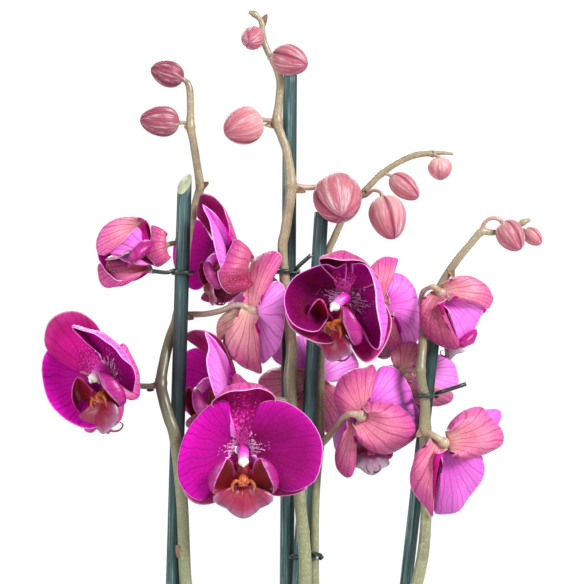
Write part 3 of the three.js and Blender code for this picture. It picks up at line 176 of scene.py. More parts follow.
def petal_skin(name, stops, edge, vein, veins, vein_share, blotch, blotch_share, painted_shade_colour, painted_light_and_pale_tint,
               lace=None, lace_reach=None, lace_scale=None, middle=None, roughness=0.45, sheen=0.03,
               edge_width=0.03, sparkle=0.15, specular=0.35):
    finish, add = new_finish(name)
    uv = add("UVMap", uv_map="skin")
    across, along = add("SeparateXYZ", {"Vector": uv}).node.outputs[:2]
    aside = add("Math", {0: across, 1: 0.5}, operation="SUBTRACT")
    aside = add("Math", {0: aside}, operation="ABSOLUTE")
    room = add("TexCoord", out="Object")
    wander = add("TexNoise", {"Vector": room, "Scale": WANDERS, "Detail": 3})
    colour = add("ValToRGB", {"Fac": along}, stops)
    if middle:
        # the middle of the sheet, along its main vein, in another colour
        share = add("MapRange", {"Value": aside, "From Min": 0.02, "From Max": 0.42, "To Min": 0.75,
                                 "To Max": 0})
        fade = add("MapRange", {"Value": along, "From Min": 0.4, "From Max": 0.85, "To Min": 1, "To Max": 0})
        share = add("Math", {0: share, 1: fade}, operation="MULTIPLY")
        colour = cover(add, colour, middle, share)
    # painted shade and painted light: where the depth layer is above zero the colour is darkened towards the
    # shaded colour, and below zero it is brightened towards a colour that paints light on flowers in shade
    # and gives some sepals their paler tint
    depth = add("Attribute", out="Fac", attribute_name="depth")
    colour = cover(add, colour, painted_shade_colour, depth)
    colour = cover(add, colour, painted_light_and_pale_tint, depth, (0, -1))
    patch = add("TexNoise", {"Vector": room, "Scale": PATCHES, "Detail": 4, "Roughness": 0.6})
    colour = cover(add, colour, blotch, patch, (0.42, 0.72), (0, blotch_share))
    spark = add("TexNoise", {"Vector": room, "Scale": SPARKS, "Detail": 2})
    colour = cover(add, colour, edge, spark, (0.48, 0.8), (0, sparkle))
    # the main veins start at the claw, and twice as many fork from them on the way to the rim
    lines = []
    for count, start, first, last in ((veins, 0, 0.6, 1), (2 * veins, 0.45, 0.15, 0.75)):
        line = fine_lines(add, across, wander, VEIN_DRIFT, count, VEIN_BREADTH)
        fade = add("MapRange", {"Value": along, "From Min": start, "From Max": start + 0.3,
                                "To Min": first, "To Max": last})
        lines.append(add("Math", {0: line, 1: fade}, operation="MULTIPLY"))
    line = add("Math", {0: lines[0], 1: lines[1]}, operation="MAXIMUM")
    colour = cover(add, colour, vein, line, (0, 1), (0, vein_share))
    if lace:
        # pale dashes along the veins near the claw: the noise must rise above a level that grows outwards
        stretch = add("Mapping", {"Vector": uv, "Scale": lace_scale + (1,)})
        fleck = add("TexNoise", {"Vector": stretch, "Scale": 1, "Detail": 3, "Roughness": 0.7})
        reach = add("Math", {0: aside, 1: 0.3, 2: along}, operation="MULTIPLY_ADD")
        level = add("MapRange", {"Value": reach, "From Min": 0.06, "From Max": lace_reach,
                                 "To Min": 0.47, "To Max": 0.74})
        fleck = add("Math", {0: fleck, 1: level}, operation="SUBTRACT")
        colour = cover(add, colour, lace, fleck, (0, 0.035), (0, 0.92))
    # the pale line that runs round the rim
    side = add("Math", {0: 0.5, 1: aside}, operation="SUBTRACT")
    front = add("Math", {0: 1, 1: along}, operation="SUBTRACT")
    rim = add("Math", {0: side, 1: front}, operation="MINIMUM")
    colour = cover(add, colour, edge, rim, (0.004, edge_width), (0.85, 0))
    # the outlines of the cells stand up as a fine net, and veins are sunk into the sheet
    cells = add("TexVoronoi", {"Vector": room, "Scale": CELLS})
    relief = add("Math", {0: cells, 1: 0.25, 2: 0.5}, operation="MULTIPLY_ADD")
    relief = add("Math", {0: line, 1: -0.7, 2: relief}, operation="MULTIPLY_ADD")
    gloss = add("MapRange", {"Value": patch, "To Min": roughness - 0.08, "To Max": roughness + 0.1})
    finish_with(add, colour, gloss, relief, 0.5, Sheen_Weight=sheen, Sheen_Roughness=0.4,
                Specular_IOR_Level=specular)
    return finish


# %% Petal and sepal skins
# fronts have the domed cells that drink up light, so they are deep in colour and hardly gleam
PETAL_FRONT = petal_skin(
    "velvety_petal_front",
    [(0, "#4E0036"), (0.12, "#90006A"), (0.35, "#B00088"), (0.75, "#C8009E"), (1, "#EA0CC4")],
    edge="#F49CEA", vein="#7C0066", veins=19, vein_share=0.6, blotch="#A00080", blotch_share=0.5,
    painted_shade_colour="#5E002A", painted_light_and_pale_tint="#F418D4", lace="#F8BCF0", lace_reach=0.42, lace_scale=(34, 15), roughness=0.6,
    sheen=0, edge_width=0.015, sparkle=0.03, specular=0.08)
SEPAL_FRONT = petal_skin(
    "velvety_sepal_front",
    [(0, "#F008B0"), (0.3, "#D00090"), (0.5, "#B00070"), (0.8, "#9C005C"), (1, "#B83880")],
    edge="#E8A0C8", vein="#70003E", veins=8, vein_share=0.4, blotch="#880048", blotch_share=0.6,
    painted_shade_colour="#5C0030", painted_light_and_pale_tint="#E81CA8", lace="#F870D0", lace_reach=0.72, lace_scale=(34, 38), roughness=0.6,
    sheen=0, sparkle=0.04, specular=0.08)
# backs have flat cells, so they are paler and smoother, and a sepal's back keeps some green and tan
PETAL_BACK = petal_skin(
    "lilac_petal_back", [(0, "#B040A0"), (0.3, "#E060D0"), (0.7, "#F084E6"), (1, "#E864DC")],
    edge="#FCD4FA", vein="#A82494", veins=11, vein_share=0.6, blotch="#CC4CB8", blotch_share=0.4,
    painted_shade_colour="#C020B0", painted_light_and_pale_tint="#FCA0F4")
SEPAL_BACK = petal_skin(
    "salmon_sepal_back",
    [(0, "#B4A078"), (0.12, "#C89088"), (0.35, "#E0749C"), (0.7, "#D65C9C"), (1, "#D040A4")],
    edge="#F8C4E4", vein="#98204E", veins=9, vein_share=0.75, blotch="#B43470", blotch_share=0.65,
    painted_shade_colour="#8C003C", painted_light_and_pale_tint="#D8C49C", middle="#DE8098", edge_width=0.02, sparkle=0.25)

# %% [markdown]
# ## Lip, column and bud skins
# The lip is the flower's landing stage: stiffer and waxier than the petals, deep crimson inside and
# magenta outside, with a ridged callus in coral and orange. The column in the middle is a waxy rod in
# the petal's colour, and its cap is ivory. Buds wear the backs of their three sepals.

# %% Waxy skins
WAX_WANDERS = 160  # in a metre: bends of a streak, 6 mm long
WAX_ROUGHNESS = 0.38
STREAK_BREADTH = 0.5


def waxy_skin(name, base, streak, spot, streaks=9, streak_share=0.5, spot_share=0.5, spots=420, coat=0.15):
    # spots is how many spots go in a metre, so the usual one is 2.4 mm across
    finish, add = new_finish(name)
    across, along = add("SeparateXYZ", {"Vector": add("UVMap", uv_map="skin")}).node.outputs[:2]
    room = add("TexCoord", out="Object")
    wander = add("TexNoise", {"Vector": room, "Scale": WAX_WANDERS, "Detail": 4})
    colour = add("ValToRGB", {"Fac": along}, base)
    line = fine_lines(add, across, wander, 0.12, streaks, STREAK_BREADTH, streak_share)
    colour = cover(add, colour, streak, line)
    dots = add("TexVoronoi", {"Vector": room, "Scale": spots})
    colour = cover(add, colour, spot, dots, (0.18, 0.42), (spot_share, 0))
    relief = add("Math", {0: line, 1: -0.8, 2: wander}, operation="MULTIPLY_ADD")
    finish_with(add, colour, WAX_ROUGHNESS, relief, 0.4, Coat_Weight=coat, Coat_Roughness=0.3)
    return finish


LIP_INSIDE = waxy_skin(
    "crimson_lip_inside",
    [(0, "#C86020"), (0.1, "#981418"), (0.35, "#7E041E"), (0.8, "#94083C"), (1, "#C03C90")],
    "#5A0014", "#A82030", spot_share=0.35)
LIP_OUTSIDE = waxy_skin(
    "magenta_lip_outside", [(0, "#8C0A44"), (0.5, "#A40C70"), (0.96, "#A81480"), (1, "#DC84C4")],
    "#74083C", "#B83094", spot_share=0.25, coat=0.03)
LIP_TONGUE = waxy_skin(
    "brick_lip_tongue",
    [(0, "#B02420"), (0.3, "#8C0C30"), (0.75, "#98204C"), (0.92, "#A05884"), (1, "#B8A0B8")],
    "#70082C", "#B43C64", 7, spot_share=0.3)
TONGUE_BACK = waxy_skin(
    "grey_lilac_tongue_back", [(0, "#8C2454"), (0.4, "#944C78"), (0.85, "#A88CA0"), (1, "#C4B4C0")],
    "#7A4468", "#BCA4B4", 7, 0.4, 0.25)
CALLUS = waxy_skin("coral_callus", [(0, "#C87C28"), (0.5, "#C05A24"), (1, "#D86C60")], "#8A1020", "#E8A048",
                   14, 0.85, spots=900)
COLUMN_SKIN = waxy_skin("magenta_column", [(0, "#B80890"), (0.5, "#E030C4"), (1, "#F0A0E8")],
                        "#C010A0", "#F8B0F0", 6, 0.25, 0.2)
ANTHER_CAP = waxy_skin("ivory_anther_cap", [(0, "#F4EEE0"), (0.6, "#FBF7EE"), (1, "#EADCE0")],
                       "#E4C8D4", "#FFFFFF", 2, 0.3, 0.3)
TENDRIL = waxy_skin("dark_tendril", [(0, "#A83058"), (0.6, "#6A2038"), (1, "#4A2C30")], "#502030", "#8A5060",
                    3, spot_share=0.2)


# %% Bud skin
BUD_WANDERS = 130  # in a metre: bends of a vein, 8 mm long
BUD_VEINS = 11


def bud_skin(name):
    # U counts the three sepals round the bud, so a whole number is a seam and a half is a sepal's middle
    finish, add = new_finish(name)
    uv = add("UVMap", uv_map="skin")
    across, along = add("SeparateXYZ", {"Vector": uv}).node.outputs[:2]
    room = add("TexCoord", out="Object")
    wander = add("TexNoise", {"Vector": room, "Scale": BUD_WANDERS, "Detail": 4})
    colour = add("ValToRGB", {"Fac": along},
                 [(0, "#C4B494"), (0.16, "#D4AAA4"), (0.4, "#CA8088"), (0.75, "#BC6274"), (1, "#A03C68")])
    colour = cover(add, colour, "#7A1440", add("Attribute", out="Fac", attribute_name="depth"))
    # long greyish highlights, drawn out along the bud
    stretch = add("Mapping", {"Vector": uv, "Scale": (5, 1.3, 1)})
    cloud = add("TexNoise", {"Vector": stretch, "Scale": 1.5, "Detail": 6, "Roughness": 0.7})
    colour = cover(add, colour, "#E6DAD8", cloud, (0.5, 0.72), (0, 0.85))
    vein = fine_lines(add, across, wander, 0.16, BUD_VEINS, VEIN_BREADTH, 0.6)
    colour = cover(add, colour, "#9C2850", vein)
    seam = add("Math", {0: across, 1: 1}, operation="PINGPONG")
    colour = cover(add, colour, "#7E1440", seam, (0.02, 0.1), (0.9, 0))
    relief = add("Math", {0: vein, 1: -0.8, 2: cloud}, operation="MULTIPLY_ADD")
    finish_with(add, colour, 0.5, relief, 0.1, 0.3 * MM)
    return finish


BUD_SKIN = bud_skin("salmon_bud_skin")

# %% [markdown]
# ## Stem, leaf and root skins
# A flower stem is green where it leaves the plant and ripens to olive brown near the flowers. It is
# round, mottled and slightly glossy, with brown scales at its nodes. Leaves are leathery, with
# long parallel veins and a wax gloss. Roots wear silvery bark that soaks up water.

# %% Stem skin
STEM_GREEN_TO = 0.27
STEM_RIPE_FROM = 0.42
SPECKS = (1100, 1100, 750)  # in a metre: specks 0.9 mm wide and 1.3 mm long


def stem_skin(name, low, high, mottle, dark):
    finish, add = new_finish(name)
    room = add("TexCoord", out="Object")
    height = add("SeparateXYZ", {"Vector": room}, out="Z")
    ripe = add("MapRange", {"Value": height, "From Min": STEM_GREEN_TO, "From Max": STEM_RIPE_FROM})
    cloud = add("TexNoise", {"Vector": room, "Scale": 55, "Detail": 5, "Roughness": 0.65})
    ripe = add("Math", {0: cloud, 1: 0.9, 2: ripe}, operation="MULTIPLY_ADD")
    colour = cover(add, low, high, ripe, (0.45, 1.45))
    stretch = add("Mapping", {"Vector": room, "Scale": SPECKS})
    speck = add("TexNoise", {"Vector": stretch, "Scale": 1, "Detail": 3})
    colour = cover(add, colour, mottle, speck, (0.5, 0.7), (0, 0.5))
    colour = cover(add, colour, dark, cloud, (0.56, 0.75), (0, 0.6))
    # painted shade round one row of the drawing, read from the depth layer
    colour = cover(add, colour, "#2C281C", add("Attribute", out="Fac", attribute_name="depth"))
    finish_with(add, colour, 0.42, speck, 0.2, 0.2 * MM, Coat_Weight=0.3, Coat_Roughness=0.3)
    return finish


STEM_SKIN = stem_skin("ripening_stem", "#868C68", "#98886C", "#C8C0A2", "#5A4434")
STALK_SKIN = stem_skin("pale_flower_stalk", "#B4A080", "#B09080", "#DCC8B4", "#94586A")
BRACT_SKIN = stem_skin("papery_brown_bract", "#8A6A48", "#7E5A40", "#B89A70", "#4A3226")
ROOT_SKIN = stem_skin("silvery_root", "#A8AE94", "#B8BCA8", "#D8DCCC", "#7C8A5C")


# %% Leaf skin
LEAF_VEINS = 22
LEAF_CLOUDS = 28  # in a metre: clouds 36 mm across
LEAF_GRAINS = 900  # in a metre: grains of wax, drawn 1.1 mm across so that they show


def leaf_skin(name, base, vein, patch, roughness, coat):
    finish, add = new_finish(name)
    across, along = add("SeparateXYZ", {"Vector": add("UVMap", uv_map="skin")}).node.outputs[:2]
    room = add("TexCoord", out="Object")
    cloud = add("TexNoise", {"Vector": room, "Scale": LEAF_CLOUDS, "Detail": 5})
    colour = cover(add, add("ValToRGB", {"Fac": along}, base), patch, cloud, (0.4, 0.7), (0, 0.5))
    turn = add("Math", {0: across, 1: 2 * math.pi * LEAF_VEINS}, operation="MULTIPLY")
    wave = add("Math", {0: turn}, operation="COSINE")
    colour = cover(add, colour, vein, wave, (0.3, 1), (0, 0.4))
    grain = add("TexVoronoi", {"Vector": room, "Scale": LEAF_GRAINS})
    relief = add("Math", {0: wave, 1: -0.3, 2: grain}, operation="MULTIPLY_ADD")
    finish_with(add, colour, roughness, relief, 0.25, Coat_Weight=coat, Coat_Roughness=0.25)
    return finish


LEAF_TOP = leaf_skin("waxy_leaf_top", [(0, "#6E8C44"), (0.15, "#3E6A2E"), (0.8, "#2F5A28"), (1, "#4A6A34")],
                     "#1F4520", "#4C7A38", 0.36, 0.35)
LEAF_UNDER = leaf_skin("dull_leaf_underside", [(0, "#8A9C58"), (0.3, "#5E7A44"), (1, "#6A6448")],
                       "#44603A", "#7A5A60", 0.5, 0.05)

# %% [markdown]
# ## Stakes, wire, bark and pot
# The stakes are bamboo dyed a dark sea green: long fibres show as fine streaks, and the dye is thin on
# the ridges. The cut end shows raw straw-coloured wood. The ties are paper-covered garden wire.

# %% Dyed bamboo
STAKE_RADIUS = 4
FIBRES = (0.75, 0.012, 1)  # in a mm, round and along: fibres 0.3 mm wide, drawn 0.8 mm wide to show


def bamboo_skin(name, pale, dye, dark):
    # U is the way round in mm, V the way along in mm
    finish, add = new_finish(name)
    uv = add("UVMap", uv_map="skin")
    stretch = add("Mapping", {"Vector": uv, "Scale": FIBRES})
    fibre = add("TexNoise", {"Vector": stretch, "Scale": 1.7, "Detail": 6, "Roughness": 0.7})
    colour = add("ValToRGB", {"Fac": fibre}, [(0.36, dark), (0.46, dye), (0.54, dye), (0.66, pale)])
    cloud = add("TexNoise", {"Vector": add("TexCoord", out="Object"), "Scale": 24, "Detail": 4})
    colour = cover(add, colour, dark, cloud, (0.45, 0.7), (0, 0.5))
    # painted shade, darkened nearly to black down the right side of the stake
    round_way = add("SeparateXYZ", {"Vector": uv})
    turn = add("Math", {0: round_way, 1: 1 / STAKE_RADIUS}, operation="MULTIPLY")
    side = add("Math", {0: turn}, operation="COSINE")
    side = add("Math", {0: fibre, 1: 0.8, 2: side}, operation="MULTIPLY_ADD")
    colour = cover(add, colour, dark, side, (0.35, 1.3), (0, 0.8))
    # painted shade round one row of the drawing, read from the depth layer
    colour = cover(add, colour, dark, add("Attribute", out="Fac", attribute_name="depth"))
    finish_with(add, colour, 0.4, fibre, 0.6, 0.6 * MM)
    return finish


DYED_BAMBOO = bamboo_skin("dyed_bamboo", "#A4C4BE", "#3C6062", "#101E22")
RAW_BAMBOO = bamboo_skin("raw_cut_bamboo", "#E8E4CC", "#C8CCA8", "#98A080")


# %% Wire, bark and glaze
def grainy_skin(name, stops, grains, roughness, relief, depth, stretch=(1, 1, 1), **sockets):
    # grains is how many of them go in a metre
    finish, add = new_finish(name)
    drawn = add("Mapping", {"Vector": add("TexCoord", out="Object"), "Scale": stretch})
    grain = add("TexNoise", {"Vector": drawn, "Scale": grains, "Detail": 6, "Roughness": 0.65})
    colour = add("ValToRGB", {"Fac": grain}, stops)
    finish_with(add, colour, roughness, grain, relief, depth * MM, **sockets)
    return finish


# paper wound on wire is matt and fibrous, and a snipped end is bright
GREEN_WIRE = grainy_skin("paper_covered_wire", [(0.3, "#0E1A18"), (0.5, "#1C2C28"), (0.75, "#3C5450")],
                         900, 0.4, 0.4, 0.2, Coat_Weight=0.2)
CUT_WIRE = grainy_skin("cut_wire_end", [(0.3, "#8A8C80"), (0.7, "#D8D8CC")], 1500, 0.45, 0.3, 0.2)
# pine bark is corky: rough, deeply grained and red brown
PINE_BARK = grainy_skin(
    "potting_bark", [(0.25, "#2A1A12"), (0.5, "#5E3E28"), (0.62, "#7C5638"), (0.8, "#A07C58")],
    180, 0.9, 0.9, 1.2, stretch=(1, 1.6, 2.2))
# a fired glaze is a smooth glass, and the bare earthenware below it is sandy
GLAZE = grainy_skin("white_pot_glaze", [(0.3, "#E9E6DE"), (0.55, "#EFEDE7"), (0.8, "#F3F1EC")],
                    70, 0.22, 0.12, 0.6, Coat_Weight=0.6, Coat_Roughness=0.12)
BARE_CLAY = grainy_skin("unglazed_clay", [(0.3, "#C8B49C"), (0.6, "#D8C8B4"), (0.8, "#E4D8C8")],
                        600, 0.85, 0.6, 0.3)

# %% [markdown]
# ## Making a sheet and a round piece
# A petal, a leaf and a bract are all thin sheets. A grid is laid on the sheet's surface, extruded to a
# second face, and the two faces are moved apart by the thickness, which thins to nothing much at the
# rim. Stems, stakes, wire and buds are grids too, rolled up and welded along the seam. Each grid
# corner keeps its two shares in vertex layers, and the UV map is written from them. One more layer,
# depth, darkens the colour where it is above zero: painted shade on petals, stems and stakes, and a
# darker tone on some buds. Below zero it brightens a petal: painted light, and the paler tint of some
# sepals.

# %% Sheets and rolls
SHARES = ("share_u", "share_v")
RIM_SHARE = 0.35  # of the thickness that is left at the rim
RIM_BREADTH = 0.1  # of the sheet over which it thins
STEP = 1e-3  # of the sheet, to find which way it lies
WELD = 0.002 * MM


def new_piece():
    bm = bmesh.new()
    for name in SHARES + ("depth",):
        bm.verts.layers.float.new(name)
    bm.loops.layers.uv.new("skin")
    return bm


def laid_grid(bm, across, along, finish, uv_size=(1, 1), uv_turn=0):
    u, v = (bm.verts.layers.float[name] for name in SHARES)
    uv = bm.loops.layers.uv["skin"]
    verts = bmesh.ops.create_grid(bm, x_segments=across, y_segments=along, size=0.5)["verts"]
    faces = list({face for vert in verts for face in vert.link_faces})
    for vert in verts:
        vert[u], vert[v] = vert.co.x + 0.5, vert.co.y + 0.5
    for face in faces:
        face.material_index = finish
        face.smooth = True
        for loop in face.loops:
            loop[uv].uv = ((loop.vert[u] + uv_turn) * uv_size[0], loop.vert[v] * uv_size[1])
    return verts, faces, u, v


def shade(bm, tone):
    # gives every corner of a piece its depth of colour
    layer = bm.verts.layers.float["depth"]
    for vert in bm.verts:
        vert[layer] = tone(vert)


def painted_shade_band(row, spread, peak):
    # painted shade that darkens a stem or a stake round one row of the drawing
    def tone(vert):
        here = SIGHT_ROW - (vert.co.z / MM - SIGHT_Z) / GRID
        return peak * math.exp(-(((here - row) / spread) ** 2))
    return tone


def add_sheet(bm, across, along, surface, thickness, front, back, tone=None):
    verts, faces, u, v = laid_grid(bm, across, along, front)
    made = bmesh.ops.extrude_face_region(bm, geom=faces, use_keep_orig=True)["geom"]
    others = [item for item in made if isinstance(item, bmesh.types.BMVert)]
    for item in made:
        if isinstance(item, bmesh.types.BMFace):
            item.material_index = back
    for side, group in ((1, verts), (-1, others)):
        for vert in group:
            s, q = vert[u], vert[v]
            sideways = surface(min(s + STEP, 1), q) - surface(max(s - STEP, 0), q)
            outwards = surface(s, min(q + STEP, 1)) - surface(s, max(q - STEP, 0))
            inside = min(1, min(s, 1 - s, 1 - q) / RIM_BREADTH)
            offset = sideways.cross(outwards).normalized() * thickness / 2
            vert.co = surface(s, q) + offset * side * (RIM_SHARE + (1 - RIM_SHARE) * inside ** 0.5)
            if tone:
                vert[bm.verts.layers.float["depth"]] = tone(s, q)


def add_roll(bm, around, along, surface, finish, uv_size=(1, 1), uv_turn=0):
    # surface(turn, share) is closed in turn, and its two ends shrink to a point
    verts, _, u, v = laid_grid(bm, around, along, finish, uv_size, uv_turn)
    for vert in verts:
        vert.co = surface(vert[u] % 1, vert[v])
    bmesh.ops.remove_doubles(bm, verts=verts, dist=WELD)


def mesh_object(bm, name, finishes):
    mesh = bpy.data.meshes.new(name)
    bm.to_mesh(mesh)
    bm.free()
    for finish in finishes:
        mesh.materials.append(finish)
    piece = bpy.data.objects.new(name, mesh)
    bpy.context.scene.collection.objects.link(piece)
    print(name, "faces:", len(mesh.polygons))
    return piece


def finish_piece(bm, name, finishes, slot, *nodes):
    bmesh.ops.recalc_face_normals(bm, faces=bm.faces)
    piece = mesh_object(bm, name, finishes)
    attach(piece, "root")
    if nodes:
        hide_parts(*nodes)

# %% [markdown]
# ## Smooth lines, pipes and petal surfaces
# A smooth line passes through every point that is drawn. A pipe is a round section carried along a
# smooth line without twist. A petal surface runs from the narrow claw, over a fold or bulge line at three
# quarters of the way, to the rim.

# %% Lines and pipes
def smooth_line(points, s):
    spans = len(points) - 1
    span = min(int(s * spans), spans - 1)
    f = s * spans - span
    start, end = points[span], points[span + 1]
    before = points[span - 1] if span > 0 else 2 * start - end
    after = points[span + 2] if span + 2 <= spans else 2 * end - start
    return (before * (0.5 * (-f + 2 * f * f - f ** 3)) + start * (0.5 * (2 - 5 * f * f + 3 * f ** 3))
            + end * (0.5 * (f + 4 * f * f - 3 * f ** 3)) + after * (0.5 * (f ** 3 - f * f)))


def smooth_number(values, s):
    spans = len(values) - 1
    span = min(int(s * spans), spans - 1)
    f = s * spans - span
    return values[span] + (values[span + 1] - values[span]) * f * f * (3 - 2 * f)


def pipe_surface(points, radii, steps):
    # frames along the line, each turned from the last by as little as possible
    line = [smooth_line(points, k / steps) for k in range(steps + 1)]
    frames = []
    normal = Vector((1, 0.3, 0.2))
    for k in range(steps + 1):
        tangent = (line[min(k + 1, steps)] - line[max(k - 1, 0)]).normalized()
        normal = (normal - tangent * normal.dot(tangent)).normalized()
        frames.append((line[k], normal.copy(), tangent.cross(normal)))

    def surface(turn, share):
        # the first and last rows close the ends
        row = round(share * (steps + 2)) - 1
        k = min(max(row, 0), steps)
        centre, side, other = frames[k]
        radius = 0 if row < 0 or row > steps else radii(k / steps, turn)
        angle = 2 * math.pi * turn
        return centre + (side * math.cos(angle) + other * math.sin(angle)) * radius
    return surface


def add_pipe(bm, points, radii, around, steps, finish):
    # radii is a list of radii along the line, or a function of the share along and the turn
    spread = radii if callable(radii) else (lambda s, turn: smooth_number(radii, s))
    add_roll(bm, around, steps + 2, pipe_surface(points, spread, steps), finish)


def ball_surface(centre, radius, along, squeeze=1.0):
    # a ball whose poles lie along a direction
    pole = along.normalized()
    side = pole.orthogonal().normalized()
    other = pole.cross(side)

    def surface(turn, share):
        tilt = math.pi * share
        angle = 2 * math.pi * turn
        flat = (side * math.cos(angle) + other * math.sin(angle)) * math.sin(tilt)
        return centre + (flat - pole * math.cos(tilt) * squeeze) * radius
    return surface


# %% Petal surfaces
FOLD = 0.75
RIPPLES_ACROSS = 9
RIPPLES_ALONG = 2.5


def petal_surface(claw, rim, fold, bulge, breadth, ripple, seed):
    facing = Vector((0, 0, 0))
    for before, after in zip(rim, rim[1:]):
        facing += (before - claw).cross(after - claw)
    facing.normalize()
    if facing.y > 0:
        facing.negate()
    broad = (rim[-1] - rim[0]).normalized() * breadth

    def surface(s, q):
        foot = claw + broad * (s - 0.5)
        edge = smooth_line(rim, s)
        middle = smooth_line(fold, s) if fold else foot.lerp(edge, FOLD) + facing * (bulge * FOLD)
        spot = (foot * ((FOLD - q) * (1 - q) / FOLD) + middle * (q * (1 - q) / (FOLD * (1 - FOLD)))
                + edge * (q * (q - FOLD) / (1 - FOLD)))
        wave = noise.noise(Vector((s * RIPPLES_ACROSS + seed, q * RIPPLES_ALONG, seed * 0.37)))
        return spot + facing * (wave * ripple * q * q)
    return surface, facing


print("a petal folds at", FOLD, "of its length")
